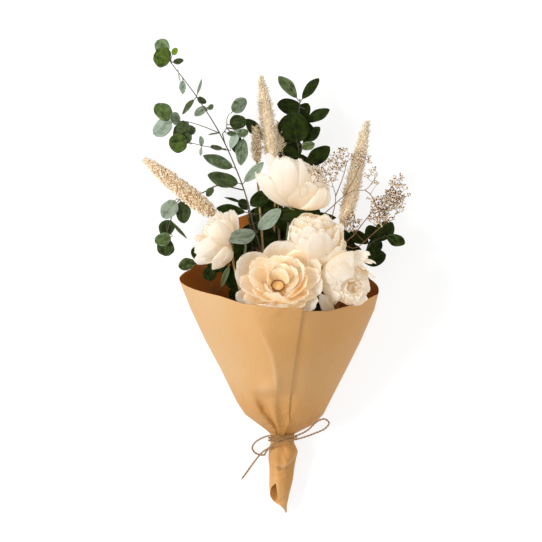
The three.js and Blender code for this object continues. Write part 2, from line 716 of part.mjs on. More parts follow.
// Each spray: its stem's slot and line, its arms, and its clumps of buds as [middle, half width, half
// length].
const CLUMP_DEPTH = 7; // half of how deep a clump is
const SPRAYS = {
  bud_spray_upper: {
    slot: [1, 0],
    line: [[26, -80, 26], [40, -10, 26], [46, 40, 32], [48.5, 60, 44]],
    arms: [
      [
        [48.5, 60, 44], [60, 70, 56], [70, 79, 62], [81, 85, 68], [91, 85, 70], [100, 95, 72],
        [103.5, 101, 73],
      ],
      [
        [46, 40, 32], [57, 56, 48], [61.6, 79, 64], [58.5, 90, 74], [57, 97, 80],
      ],
      [
        [61.6, 79, 64], [69, 98, 70], [73.5, 115, 73],
      ],
      [
        [70, 79, 62], [80, 96, 68], [87, 112, 72],
      ],
      [
        [91, 85, 70], [97, 80, 70], [101, 72.5, 70],
      ],
    ],
    clumps: [
      [[51, 102, 84], 15, 11],
      [[66.5, 115, 75], 10.5, 9.5],
      [[87, 113, 72], 8.5, 8],
      [[99, 98, 72], 6, 10],
      [[99, 74, 70], 4, 3],
    ],
  },
  bud_spray_right: {
    slot: [1.5, 1],
    line: [[44, -80, 36], [60, -14, 42], [70, 30, 46], [80, 40, 50]],
    arms: [
      [
        [80, 40, 50], [96, 61, 60], [107, 74, 66], [116, 86, 68], [123, 95, 69],
      ],
      [
        [70, 30, 46], [81, 27, 50], [101, 43, 58], [113.5, 53, 62], [121, 56, 64],
      ],
      [
        [96, 61, 60], [108, 64, 66], [120, 72, 68], [132, 79, 68],
      ],
      [
        [80, 40, 50], [79, 50, 56], [81, 60, 58],
      ],
    ],
    clumps: [
      [[104, 58, 64], 10, 10],
      [[113, 68, 67], 14, 15],
      [[121, 79, 69], 11, 13],
      [[124, 94, 69], 4, 6],
      [[78, 51, 58], 8, 10],
    ],
  },
};

for (const [name, spray] of Object.entries(SPRAYS)) {
  place(name, "bud", (grow) => {
    const parts = [tube(stemRoute(spray.slot, spray.line), 1 + grow, 6, 8 + 2 * spray.line.length)];
    for (const arm of spray.arms) {
      const route = arm.map(([u, v, z]) => seen(u, v, z));
      parts.push(tube(route, 0.6 + grow, 5, 2 * arm.length));
    }
    for (const [middle, wide, long] of spray.clumps) {
      const clump = new THREE.IcosahedronGeometry(1, 1);
      clump.scale(wide + grow, long + grow, CLUMP_DEPTH + grow);
      parts.push(solid(clump.translate(...seen(...middle).toArray())));
    }
    return joined(parts);
  });
}

bouquet.position.set(FOOTPRINT_X, FOOTPRINT_Y, 0);

export default bouquet;
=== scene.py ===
import math
import random
import bpy
import numpy as np
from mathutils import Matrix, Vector


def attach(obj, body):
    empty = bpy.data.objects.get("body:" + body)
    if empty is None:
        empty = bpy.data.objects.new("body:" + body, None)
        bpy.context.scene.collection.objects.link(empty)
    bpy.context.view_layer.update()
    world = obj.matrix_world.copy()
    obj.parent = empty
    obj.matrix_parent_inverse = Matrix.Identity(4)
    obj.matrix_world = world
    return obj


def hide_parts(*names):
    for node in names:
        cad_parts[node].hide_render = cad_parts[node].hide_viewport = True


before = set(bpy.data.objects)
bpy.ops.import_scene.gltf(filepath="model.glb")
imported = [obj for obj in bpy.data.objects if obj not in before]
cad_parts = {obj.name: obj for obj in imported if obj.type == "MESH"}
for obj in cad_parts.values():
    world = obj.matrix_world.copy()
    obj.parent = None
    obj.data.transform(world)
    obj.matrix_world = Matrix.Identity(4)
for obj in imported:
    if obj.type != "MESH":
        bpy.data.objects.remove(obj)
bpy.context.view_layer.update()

# ======== The eye and the camera ========
# The bouquet lies on its back on a table and is looked at from straight above, from two metres.
# Places are (u, v, z) in millimetres: where a point shows on the table from up there, and its height.
EYE_HEIGHT = 2000.0
EYE_UNDER = np.array([-3.0, 4.0])  # the point of the table below the eye, on the picture's own grid
GRID_SHIFT = np.array([-0.1, 3.6])  # from the picture's grid to the middle of the bouquet's footprint
PICTURE_WIDTH = 542.0  # what the picture takes in at the height of the table
SENSOR = 36.0
MM = 0.001


def seen(u, v, z):
    """Where a thing stands in the frame that shows at (u, v) and is z high, in millimetres."""
    share = 1 - np.asarray(z) / EYE_HEIGHT
    flat = [under + (at - under) * share + shift for at, under, shift in zip((u, v), EYE_UNDER, GRID_SHIFT)]
    return np.stack(np.broadcast_arrays(*flat, z), axis=-1)


bpy.ops.object.camera_add(location=(*((EYE_UNDER + GRID_SHIFT) * MM), EYE_HEIGHT * MM), rotation=(0, 0, 0))
camera = bpy.context.object
camera.name = "picture_camera"
camera.data.sensor_width = SENSOR
camera.data.lens = SENSOR * EYE_HEIGHT / PICTURE_WIDTH
bpy.context.scene.camera = camera


# ======== The twine ========
# One length of two-ply jute, 1.8 mm thick: two turns round the neck of the paper, a bow of two loops, and an
# end that lies on the table. It is stiff and hairy, so the loops stand by themselves.
TWINE_THICK = 1.8
TWINE_TWIST = 6.5  # length of one full twist of the two plies
TWINE_STEP = 0.8  # between the points that it is drawn through
PLY_OFF, PLY_RADIUS = 0.24, 0.29  # of each ply, as shares of the twine's thickness
COIL_TURNS, COIL_POINTS = 2, 10  # turns round the neck, and points to a turn
COIL_GAP = 1.7  # from the paper to the middle of the twine
COIL_SLANT = 0.25  # between one point of the coil and the next, up the neck
HAIRS, END_FIBRES = 420, 16
NECK = {"coil_foot": -166, "middle": 8.8, "half": 12.3, "low": 3.6, "corner": 14.4, "top": 25.4}
BOW = [
    (1.5, -160.2, 28.2), (-6, -160.9, 25), (-13, -163.5, 19), (-19.5, -168, 11), (-21.8, -173.5, 5),
    (-18, -178.4, 2.6), (-10.5, -180, 4.6), (-8.2, -177, 12), (-3.6, -171.5, 22.5), (3, -166, 30.2),
    (11, -163, 31.6), (24, -160, 32.4), (34, -154.8, 34.5), (43, -146.5, 38), (50.5, -144, 38.5),
    (55, -148, 37), (51, -153.5, 34.6), (40, -158.6, 33.6), (25, -163.6, 34.4), (12, -165.9, 35),
    (3, -168.6, 33.6), (-4.5, -172.6, 27), (-11, -176.6, 18), (-16.5, -182.5, 8.5), (-22.5, -190.5, 2.6),
    (-31.5, -203, 1.2),
]


def smooth_line(points, step, fine=12):
    """Points a step apart along a rounded line through the given ones."""
    points = [np.asarray(p, float) for p in points]
    ends = [2 * points[0] - points[1], *points, 2 * points[-1] - points[-2]]
    line = []
    for a, b, c, d in zip(ends, ends[1:], ends[2:], ends[3:]):
        knots = [0.0]
        for p, q in ((a, b), (b, c), (c, d)):
            knots.append(knots[-1] + max(math.sqrt(np.linalg.norm(q - p)), 1e-3))
        t0, t1, t2, t3 = knots
        for t in np.linspace(t1, t2, fine, endpoint=False):
            ab = a + (b - a) * (t - t0) / (t1 - t0)
            bc = b + (c - b) * (t - t1) / (t2 - t1)
            cd = c + (d - c) * (t - t2) / (t3 - t2)
            abc = ab + (bc - ab) * (t - t0) / (t2 - t0)
            bcd = bc + (cd - bc) * (t - t1) / (t3 - t1)
            line.append(abc + (bcd - abc) * (t - t1) / (t2 - t1))
    line = np.array([*line, points[-1]])
    far = np.concatenate([[0], np.cumsum(np.linalg.norm(np.diff(line, axis=0), axis=1))])
    places = np.linspace(0, far[-1], max(3, int(round(far[-1] / step)) + 1))
    return np.stack([np.interp(places, far, line[:, k]) for k in range(3)], axis=1)


def unit(way):
    return way / np.linalg.norm(way)


def spoke(turn, side, face):
    """The direction at an angle round an axis, from the two directions across it."""
    return math.cos(turn) * side + math.sin(turn) * face


def frames_along(line):
    """Tangent, side and face directions that turn as little as they can along a line."""
    tangents = np.gradient(line, axis=0)
    tangents /= np.linalg.norm(tangents, axis=1)[:, None]
    side = np.cross(tangents[0], [0, 0, 1.0] if abs(tangents[0][2]) < 0.9 else [1.0, 0, 0])
    sides = []
    for tangent in tangents:
        side = unit(side - tangent * np.dot(side, tangent))
        sides.append(side)
    return tangents, np.array(sides), np.cross(tangents, sides)


class Gathering:
    """Points and faces of one piece, gathered bit by bit, with what its material reads at each point:
    lie is (across -1 to 1, along 0 to 1, a number of its own), and tint is three numbers for its colour."""

    def __init__(self):
        self.points, self.lie, self.tint, self.faces, self.count = [], [], [], [], 0

    def add(self, points, faces, lie=(0, 0, 0), tint=(0.5, 0, 0)):
        points = np.asarray(points, float).reshape(-1, 3)
        self.points.append(points)
        self.lie.append(np.broadcast_to(np.asarray(lie, float), points.shape))
        self.tint.append(np.broadcast_to(np.asarray(tint, float), points.shape))
        self.faces.append(np.asarray(faces) + self.count)
        self.count += len(points)

    def tube(self, line, radii, sides=6, lie=0.0, tint=(0.5, 0, 0)):
        """A round tube along a line, closed to a point at both ends."""
        line = np.asarray(line, float)
        radii = np.broadcast_to(radii, len(line)).astype(float).copy()
        tangents, sideways, faceways = frames_along(line)
        turn = np.linspace(0, 2 * math.pi, sides, endpoint=False)
        cosines, sines = np.cos(turn)[None, :, None], np.sin(turn)[None, :, None]
        ring = cosines * sideways[:, None] + sines * faceways[:, None]
        body = line[:, None] + ring * radii[:, None, None]
        ends = [line[0] - tangents[0] * radii[0] * 0.4, line[-1] + tangents[-1] * radii[-1] * 0.4]
        points = np.concatenate([body.reshape(-1, 3), ends])
        last = len(line) - 1
        faces = []
        for i in range(last):
            for k in range(sides):
                n = (k + 1) % sides
                faces.append((i * sides + k, i * sides + n, (i + 1) * sides + n, (i + 1) * sides + k))
        foot, tip = len(points) - 2, len(points) - 1
        for k in range(sides):
            n = (k + 1) % sides
            faces.append((foot, n, k, foot))
            faces.append((tip, last * sides + k, last * sides + n, tip))
        along = np.concatenate([np.repeat(np.linspace(0, 1, last + 1), sides), [0, 1]])
        around = np.concatenate([np.tile(turn / math.pi - 1, last + 1), [0, 0]])
        self.add(points, faces, np.stack([around, along, np.full(len(points), lie)], axis=1), tint)

    def sheet(self, points, lie, tint):
        """An open sheet from a grid of points. Lie and tint are three numbers or grids each."""
        rows, columns = points.shape[:2]
        i, j = np.meshgrid(np.arange(rows - 1), np.arange(columns - 1), indexing="ij")
        a = (i * columns + j).ravel()
        faces = np.stack([a, a + 1, a + columns + 1, a + columns], axis=1)
        lie, tint = (np.stack([np.broadcast_to(part, (rows, columns)) for part in three], axis=2)
                     for three in (lie, tint))
        self.add(points, faces, lie.reshape(-1, 3), tint.reshape(-1, 3))

    def piece(self, name, materials, slot, nodes=(), thick=0.0):
        """Makes the piece in metres, gives it its thickness, and fixes it to the bouquet."""
        faces = [tuple(f[:3]) if f[0] == f[3] else tuple(f) for f in np.concatenate(self.faces).tolist()]
        mesh = bpy.data.meshes.new(name)
        mesh.from_pydata((np.concatenate(self.points) * MM).tolist(), [], faces)
        for label, values in (("lie", self.lie), ("tint", self.tint)):
            held = mesh.attributes.new(label, "FLOAT_VECTOR", "POINT")
            held.data.foreach_set("vector", np.concatenate(values).astype(np.float32).ravel())
        for material in materials:
            mesh.materials.append(material)
        thing = bpy.data.objects.new(name, mesh)
        bpy.context.scene.collection.objects.link(thing)
        bpy.ops.object.select_all(action="DESELECT")
        thing.select_set(True)
        bpy.context.view_layer.objects.active = thing
        if thick:
            wall = thing.modifiers.new("thickness", "SOLIDIFY")
            wall.thickness = thick * MM
            wall.offset = 0
            wall.material_offset = len(materials) - 1
            bpy.ops.object.modifier_apply(modifier=wall.name)
        bpy.ops.object.shade_smooth()
        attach(thing, "root")
        if nodes:
            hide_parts(*nodes)
        return thing


def sign(operation, turned=False):
    """What a sign of arithmetic does between a wire and another wire or number."""
    return lambda self, other: self.math(operation, *((other, self) if turned else (self, other)))


class Wire:
    """A value in a material, on which arithmetic lays down Math nodes."""
    __add__ = __radd__ = sign("ADD")
    __sub__, __rsub__ = sign("SUBTRACT"), sign("SUBTRACT", turned=True)
    __mul__, __pow__ = sign("MULTIPLY"), sign("POWER")

    def __init__(self, finish, socket):
        self.finish, self.socket = finish, socket

    def math(self, operation, *values, clamp=False):
        return self.finish.node("Math", {"operation": operation, "use_clamp": clamp}, values)

    def __abs__(self):
        return self.math("ABSOLUTE", self)

    def clamped(self):
        return self.math("ADD", self, 0.0, clamp=True)

    def sine(self):
        return self.math("SINE", self)

    def within(self, low, high):
        """0 below low, 1 above high, smooth between."""
        made = {"Value": self, "From Min": low, "From Max": high}
        return self.finish.node("MapRange", {"interpolation_type": "SMOOTHSTEP"}, made)


class Finish:
    """A material whose look is worked out from nodes."""

    def __init__(self, name, roughness, **shader):
        self.material = bpy.data.materials.new(name)
        self.material.use_nodes = True
        self.tree = self.material.node_tree
        self.shader = self.tree.nodes["Principled BSDF"]
        self.shader.inputs["Roughness"].default_value = roughness
        for socket, value in shader.items():
            self.join(value, self.shader.inputs[socket.replace("_", " ")])

    def join(self, value, socket):
        if isinstance(value, Wire):
            self.tree.links.new(value.socket, socket)
        elif isinstance(value, tuple) and socket.type == "RGBA":
            socket.default_value = (*value, 1)
        else:
            socket.default_value = value

    def node(self, kind, settings=None, inputs=None, output=0):
        made = self.tree.nodes.new("ShaderNode" + kind)
        for key, value in (settings or {}).items():
            setattr(made, key, value)
        pairs = inputs.items() if isinstance(inputs, dict) else enumerate(inputs or [])
        for key, value in pairs:
            self.join(value, made.inputs[key])
        return Wire(self, made.outputs[output])

    def mix(self, factor, low, high):
        made = self.tree.nodes.new("ShaderNodeMix")
        made.data_type = "RGBA"
        made.clamp_factor = True
        for value, place in ((factor, 0), (low, 6), (high, 7)):
            self.join(value, made.inputs[place])
        return Wire(self, made.outputs[2])

    def place(self):
        return self.node("TexCoord", output=3)

    def read(self, label):
        """The three numbers of an attribute of the mesh."""
        held = self.node("Attribute", {"attribute_name": label}, output=1)
        split = self.node("SeparateXYZ", None, [held])
        return [Wire(self, split.socket.node.outputs[k]) for k in range(3)]

    def vector(self, x, y, z):
        return self.node("CombineXYZ", None, [x, y, z])

    def noise(self, vector, scale, detail=2.0, roughness=0.5):
        made = {"Vector": vector, "Scale": scale, "Detail": detail, "Roughness": roughness}
        return self.node("TexNoise", None, made)

    def colour(self, wire):
        self.join(wire, self.shader.inputs["Base Color"])

    def rough(self, wire):
        self.join(wire, self.shader.inputs["Roughness"])

    def relief(self, height, distance, strength=1.0):
        made = {"Height": height, "Distance": distance * MM, "Strength": strength}
        self.join(self.node("Bump", None, made), self.shader.inputs["Normal"])


def tone(*parts):
    """The light that a surface sends back whose red, green and blue show as these parts, 0 to 255 (sRGB)."""
    return tuple(((c / 255 + 0.055) / 1.055) ** 2.4 if c > 10 else c / 255 / 12.92 for c in parts)


def twine_route():
    """The turns round the neck, then the bow and the loose end."""
    points = []
    for k in range(COIL_TURNS * COIL_POINTS + 1):
        turn = 2 * math.pi * k / COIL_POINTS
        reach = NECK["top"] - NECK["corner"] if math.cos(turn) > 0 else NECK["corner"] - NECK["low"]
        u = NECK["middle"] - (NECK["half"] + COIL_GAP) * math.sin(turn)
        points.append(seen(u, NECK["coil_foot"] + COIL_SLANT * k,
                           NECK["corner"] + (reach + COIL_GAP) * math.cos(turn)))
    return points + [seen(*p) for p in BOW]


jute = Finish("jute", 0.95)
around, along, ply = jute.read("lie")
shade, _, _ = jute.read("tint")
fibre = jute.noise(jute.vector(around * 2.5, along * 240, ply), 1.6, 3)
jute.colour(jute.mix((fibre * 0.9 + shade * 0.5 - 0.25).clamped(), tone(112, 76, 40), tone(196, 156, 106)))
jute.relief(fibre, 0.25)

twine = Gathering()
route = smooth_line(twine_route(), TWINE_STEP)
_, route_side, route_face = frames_along(route)
for ply_number in (0, 1):
    turn = np.arange(len(route)) * TWINE_STEP / TWINE_TWIST * 2 * math.pi + ply_number * math.pi
    offset = np.cos(turn)[:, None] * route_side + np.sin(turn)[:, None] * route_face
    twine.tube(route + offset * TWINE_THICK * PLY_OFF, TWINE_THICK * PLY_RADIUS, 7, ply_number)
chance = random.Random(11)
for _ in range(HAIRS):
    at = chance.randrange(4, len(route) - 4)
    out = spoke(chance.uniform(0, 2 * math.pi), route_side[at], route_face[at])
    foot = route[at] + out * TWINE_THICK * 0.35
    tip = foot + out * chance.uniform(0.2, 1.1) + (route[at + 3] - route[at]) * chance.uniform(-0.8, 1.2)
    tip[2] = max(tip[2], 0.3)  # over the table
    twine.tube([foot, (foot + tip) / 2 + out * 0.15, tip], [0.07, 0.05, 0.02], 3, 2, (0.9, 0, 0))
end_way = unit(route[-1] - route[-6])
for _ in range(END_FIBRES):
    spread = np.array([chance.uniform(-0.5, 0.5), chance.uniform(-0.5, 0.5), chance.uniform(0, 0.4)])
    tip = route[-1] + end_way * chance.uniform(1.0, 2.2) + spread * 1.4
    tip[2] = max(tip[2], 0.25)
    twine.tube([route[-1] + spread * 0.8, tip], [0.12, 0.04], 4, 3, (0.8, 0, 0))
twine_bow = twine.piece("jute_twine_bow", [jute.material], "jute_twine", ["twine_bow"])


# ======== The kraft paper ========
# One sheet of plain tan kraft paper, rolled into a cone and lapped left over right at the front. It is
# pinched where the twine ties it, so that it puckers above the knot and closes to a twisted tail below.
PAPER_THICK = 0.3
SECTIONS = np.array([  # v, middle u, half width, lowest, corner and highest z, how pointed the corners are
    (-240, 11, 1.5, 9, 11, 13.5, 1), (-236, 10.5, 2.4, 8, 11, 14, 1), (-231, 6.5, 6.4, 6, 11.5, 17, 1),
    (-225, 5.6, 8.6, 4.5, 12, 19.5, 1), (-219, 5.6, 9.8, 3.4, 12.5, 21, 1),
    (-207, 6.6, 11.6, 2.5, 13, 23.5, 1), (-194, 7.6, 12.8, 2, 13.4, 25, 1), (-184, 8.2, 13.8, 2, 13.8, 26, 1),
    (-176, 9.6, 14.6, 2, 14, 26, 1), (-168, 8.8, 12.3, 3.6, 14.3, 25.2, 1),
    (-159, 8.8, 12.3, 3.6, 14.5, 25.6, 1), (-154, 11, 20, 0, 17, 33, 1), (-149, 12.8, 28.8, -3, 20, 44, 1.1),
    (-139, 10.5, 40, -5, 24, 62, 1.2), (-126, 9.6, 47.4, -7, 28, 77, 1.3), (-93, 10, 64, -9, 34, 102, 1.4),
    (-65, 9.5, 78.5, -10, 38, 123, 1.45), (-34, 9, 92.5, -11, 42, 145, 1.5),
    (-6, 7, 101.5, -12, 45, 160, 1.5), (66, 4, 116, -14, 50, 190, 1.5),
])
RIM = np.array([  # how far round the sheet, and the v of its upper edge there
    (0, -33), (13, -33), (23, -32), (38, -28.5), (53, -21), (73, -15), (88, -10), (103, -4.5), (118, 0.5),
    (133, 6), (158, 48), (185, 66), (213, 60), (240, 12), (255, -4), (272, -12), (283, -18), (298, -20.5),
    (313, -25), (328, -31), (343, -36), (360, -36), (405, -46),
])
TAIL_END = np.array([(0, -236), (60, -238), (92, -230), (114, -208), (150, -213), (180, -221), (225, -227),
                     (270, -231), (315, -235), (360, -236)])
SEAM_TURN = 77.0  # where the sheet's outer edge lies, in degrees round the cone
SHEET_TURN = 405.0  # how far the sheet goes round
SHEET_SPIRAL = 1.6  # how far its inner edge lies inside its outer one
KNOT_U, KNOT_V = 8.0, -160.0
LAP_V = -193.5  # where the lap in the tail is lowest
PAPER_COLUMNS, PAPER_ROWS = 280, 165


def bump_at(value, middle, width):
    """1 at the middle, falling to nothing about two widths off it."""
    return np.exp(-(((value - middle) / width) ** 2))


def paper_grid():
    """The sheet's points, from its outer edge round to its inner one, and what the material reads there."""
    turn = np.linspace(0, SHEET_TURN, PAPER_COLUMNS)[None, :]
    share = np.linspace(0, 1, PAPER_ROWS)[:, None] ** 1.4  # the rows are closer in the tail
    first = np.clip(1 - turn / 50, 0, 1)  # 1 at the outer edge, which runs its own way
    bottom = np.interp((SEAM_TURN + turn - 62 * first) % 360, TAIL_END[:, 0], TAIL_END[:, 1])
    top = np.interp(turn, RIM[:, 0], RIM[:, 1])
    v = bottom + (top - bottom) * share
    middle, half, low, corner, high, pointed = (np.interp(v, SECTIONS[:, 0], part) for part in SECTIONS.T[1:])
    off = -SHEET_SPIRAL * turn / SHEET_TURN
    # The outer edge drifts to the right towards the knot, and goes round to the right side of the tail.
    drift = np.interp(v, [-176, -162, -154, -34], [-62, 4, 7, 0]) * first
    angle = np.radians(SEAM_TURN + turn + drift)
    front = np.clip(np.sin(angle), 0, 1)
    below = bump_at(v, -186, 26)
    off = off + below * (np.sin(angle * 5 + v * 0.09) * 0.7 + np.sin(angle * 9 - v * 0.05) * 0.35)
    rise = np.abs(np.sin(angle)) ** pointed
    u = middle + (half + off) * np.cos(angle)
    # Puckers fan out from the knot, deep on the left and faint on the right.
    far = np.hypot(u - KNOT_U, v - KNOT_V)
    way = np.arctan2(v - KNOT_V, u - KNOT_U)
    deep = np.interp(way, [0, 0.9, 1.6, 2.2, math.pi], [0.15, 0.2, 0.75, 1.3, 1.4]) * (v > KNOT_V)
    spread = np.interp(way, [1.3, 2.1], [24, 44])
    pucker = 2 * np.sin(way * 8 + 1.1 * np.sin(way * 2.3 + far * 0.06))
    pucker = 1.4 * (pucker + 2.2 * np.abs(np.sin(way * 7 + far * 0.03)) - 1.4)
    pucker = pucker * np.clip((far - 5) / 9, 0, 1) * np.exp(-np.clip(far - 20, 0, None) / spread) * deep
    off = off + pucker * (0.3 + 0.7 * front)
    z = np.where(np.sin(angle) > 0, corner + (high - corner + off) * rise,
                 corner - (corner - low + off) * rise)
    # A ridge from the rim towards the knot, from which the front falls to the seam like a roof. It ends in a
    # shelf with a dimple under it.
    ridge_u = np.interp(v, [-115, -96, -80, -66, -56, -46, -33], [3, 1.4, -2, -8, -13, -17, -20.5])
    seam_u = np.interp(v, [-151, -108, -71, -32], [15.5, 23, 27, 29.5])
    rising = np.clip(1 - (ridge_u - u) / 42, 0, 1) ** 1.6
    roof = np.where(u < ridge_u, rising, np.clip((seam_u - u) / (seam_u - ridge_u), 0, 1) ** 1.15)
    ridge = roof * np.interp(v, [-121, -115.5, -106, -84, -60, -30], [0.3, 7.4, 9.4, 9.6, 8.6, 4])
    hollow = 2.2 * bump_at(u, 10, 9) * np.interp(v, [-150, -128, -116], [0, 1, 0])
    shelf = 2.6 * bump_at(u, -8, 9) * bump_at(v, -113, np.where(v > -113, 8, 3.4))
    dimple = 7.0 * bump_at(u + (v + 132) * 0.45, -11.5, 4.2) * bump_at(v, -131, 10)
    right, up = u - 1.5, v + 37
    crease = 1.5 * bump_at(15 * up - 8 * right, 0, 45) * bump_at(15 * right + 8 * up, 0, 150)
    calm = 1.5 * np.sin(u * 0.1 + v * 0.06 + 1) * np.sin(v * 0.075 - u * 0.04) * np.clip((v + 130) / 30, 0, 1)
    z = z + front * (ridge - hollow + shelf - dimple + crease + calm)
    # In the tail one turn of the paper laps over the next along a curve.
    lap = v - LAP_V - 0.05 * (u - 6) ** 2
    lap_edge = np.clip(lap / 1.1 + 0.5, 0, 1) * np.clip(1 - lap / 20, 0, 1) * np.clip((-168 - v) / 6, 0, 1)
    z = z + np.sqrt(front) * 1.9 * lap_edge
    # Along its creases the paper is given a painted highlight, where a fold would catch the light, and
    # painted shade just past it, also at the shelf and along the lap in the tail.
    painted_fold_highlight = bump_at(u, ridge_u - 1, 2.2) * np.interp(v, [-117, -108, -74, -52], [0, 0.5, 0.4, 0])
    tail = np.clip((-172 - v) / 8, 0, 1) * np.clip((u - 1) / 10, 0, 1)
    painted_fold_highlight = painted_fold_highlight + bump_at(lap, 1.4, 1.8) * tail * 0.6
    painted_fold_highlight = painted_fold_highlight + bump_at(v, -111 + 0.16 * u, 5) * bump_at(u, -9, 9) * 0.35
    shade = bump_at(lap, -1.6, 1.6) * tail * 0.8 + bump_at(v, -121 + 0.1 * u, 3.4) * bump_at(u, -7, 6) * 0.6
    # The back rests on the table.
    z = np.where(low < 0, np.maximum(z, PAPER_THICK / 2 + 0.02 + 0.3 * turn / SHEET_TURN), z)
    # The last two numbers of the tint are the painted highlight and the painted shade, strongest at the
    # front.
    return seen(u, v, z), (turn / SHEET_TURN, share, 0), (0.5, painted_fold_highlight * front, shade * front)


def kraft_finish(name, pale, deep, fibre_and_shade_tone, painted_tail_end_tone):
    """Kraft paper: painted paler left of the seam, where the cone faces the lamp, and painted darker right of
    it and where it is crumpled into the tail, as painted shade; also painted highlights and shade along its
    folds, and a painted tone at the tail's end.
    """
    kraft = Finish(name, 0.6, Specular_IOR_Level=0.25)
    place = kraft.place()
    round_sheet, high, _ = kraft.read("lie")
    cloud = kraft.noise(place, 14, 3)
    stretched = kraft.node("Mapping", None, {"Vector": place, "Scale": (700, 160, 400)})
    strand = kraft.noise(stretched, 1, 4, 0.65)
    fleck = kraft.noise(place, 620, 2).within(0.62, 0.75)
    # Where the paper is crumpled into the tail it is painted darker, as painted shade; the same mask also
    # deepens its real creases in the bumps.
    crumple_and_painted_shade = 1 - high.within(0.3, 0.62)
    # The left of the cone, which faces the lamp, is painted lighter: painted light.
    painted_lit_side = round_sheet.within(0.04, 0.16) * (1 - round_sheet.within(0.5, 0.7))
    level = cloud * 0.9 + strand * 0.4 + painted_lit_side * 0.45 - 0.4 - crumple_and_painted_shade * 0.55
    # The painted highlight along the folds and the painted shade past them, read from the sheet: the first
    # lightens the colour, the second darkens it towards the fibre tone.
    _, painted_fold_highlight, shade = kraft.read("tint")
    # Flecks of darker fibre, and in the tail painted shade towards the same tone.
    base = kraft.mix(fleck * 0.3 + crumple_and_painted_shade * 0.18, kraft.mix(level.clamped(), deep, pale), fibre_and_shade_tone)
    # Towards the tail's end the colour goes to a painted tone: on the outside painted shade, on the inside
    # painted light where light comes in at the open end.
    base = kraft.mix(1 - high.within(0.02, 0.16), base, painted_tail_end_tone)
    base = kraft.mix(painted_fold_highlight * 0.45, base, kraft.mix(0.35, pale, (1.0, 0.9, 0.74)))
    kraft.colour(kraft.mix(shade * 0.4, base, fibre_and_shade_tone))
    crumple = kraft.node("TexVoronoi", {"feature": "DISTANCE_TO_EDGE"}, {"Vector": place, "Scale": 46})
    creased = crumple.within(0.0, 0.2) * (0.6 + crumple_and_painted_shade * 5)
    kraft.relief(strand + kraft.noise(place, 60, 3) * 3 + creased, 0.12)
    return kraft.material


kraft_outside = kraft_finish("kraft_outside", tone(206, 170, 124), tone(203, 147, 80), tone(150, 104, 60),
                             tone(206, 156, 98))
# The inside of the same sheet is painted a deeper, darker brown than the outside: painted shade inside the
# cone.
kraft_inside_painted_shade = kraft_finish("kraft_inside_painted_shade", tone(184, 108, 32), tone(134, 74, 16), tone(108, 60, 14),
                            tone(244, 194, 122))

paper = Gathering()
paper.sheet(*paper_grid())
wrap = paper.piece("kraft_paper_sheet", [kraft_inside_painted_shade, kraft_outside], "kraft_paper", ["kraft_paper_wrap"],
                   PAPER_THICK)


# ======== Stems ========
# Every flower and branch has its own dry stem. They run side by side through the neck, where the twine holds
# them, fan out to the heads, and are cut off inside the paper's tail.
SLOT_X, SLOT_Z = 3.9, 3.0  # between one stem and the next in the neck
NECK_U, NECK_V, NECK_Z, STEM_END_V = 8.5, -163, 14.3, -203
STEM_STEP = 6  # between the points that a stem is drawn through


def stem_route(slot, way):
    """A stem's line: from its end in the tail through its slot in the neck, then along its own way."""
    x, z = slot[0] * SLOT_X, slot[1] * SLOT_Z
    held = [(NECK_U - 0.5 + x * 0.92, STEM_END_V, NECK_Z - 1.3 + z * 0.87),
            (NECK_U + x, NECK_V - 8, NECK_Z + z), (NECK_U + x * 1.02, NECK_V + 4, NECK_Z + z * 1.02)]
    return [seen(*p) for p in held + list(way)]


def grow_stem(piece, node, plant, ends, skin, thick, knobs, knob_turn, own):
    """One flower's or head's stem, a little knobbly, from the paper's tail to the given ends."""
    line = smooth_line(stem_route(plant["slot"], plant["way"]) + ends, STEM_STEP)
    stem = Gathering()
    stem.tube(line, thick + knobs * np.sin(np.arange(len(line)) * knob_turn), 8, own)
    stem.piece(piece, [skin], "stems", [node])


def stem_finish(name, pale, dark):
    """Dry bark, streaked along the stem."""
    bark = Finish(name, 0.75)
    around, along, own = bark.read("lie")
    grain = bark.noise(bark.vector(around * 3, along * 30, own * 7), 1.5, 3)
    bark.colour(bark.mix(grain.within(0.3, 0.7), dark, pale))
    bark.relief(grain, 0.2)
    return bark.material


straw = stem_finish("straw_stem", tone(196, 172, 120), tone(138, 110, 68))
green_stem = stem_finish("green_stem", tone(120, 126, 84), tone(74, 84, 50))
brown_twig = stem_finish("brown_twig", tone(96, 84, 66), tone(54, 50, 36))


# ======== The roses ========
# Five cream roses of thin dried petals with pale, slightly frayed rims. Every petal is cupped towards the
# heart of its flower, and a small green cup with five sepals covers where the petals start at the top of the
# stem.
ROSES = {
    "front": {"node": "rose_front", "foot": (4.5, -21, 88), "faces": (-0.03, 0.6, 0.8),
        "heart": (3.5, 11.5, 127), "slot": (0, 2), "way": [(6, -70, 56)]},
    "top": {"node": "rose_top", "foot": (19, 67, 57), "faces": (0.3, 0.92, 0.25), "heart": (29, 95, 68),
        "slot": (-0.5, 1), "way": [(6, -60, 42), (12, 20, 48)]},
    "middle": {"node": "rose_mid", "foot": (42, 26, 42), "faces": (0.08, 0.3, 0.95), "heart": (44, 37, 70),
        "slot": (0.5, 1), "way": [(26, -60, 30)]},
    "right": {"node": "rose_right", "foot": (69, 8, 62), "faces": (0.27, -0.45, 0.85), "heart": (77, -11, 84),
        "slot": (1, 2), "way": [(42, -62, 46), (60, -10, 52)]},
    "left": {"node": "rose_left", "foot": (-42, 35, 76), "faces": (-0.97, -0.06, 0.22),
        "heart": (-60, 36, 80), "slot": (-1, 2), "way": [(-12, -62, 52), (-29, 8, 70)]},
}


def table(text):
    """Rows of numbers from a text, one row to a line, under the name of the thing that they are for."""
    named = {}
    for line in text.strip().splitlines():
        if line[0].isalpha():
            rows = named[line] = []
        else:
            rows.append([float(part) for part in line.split()])
    return named


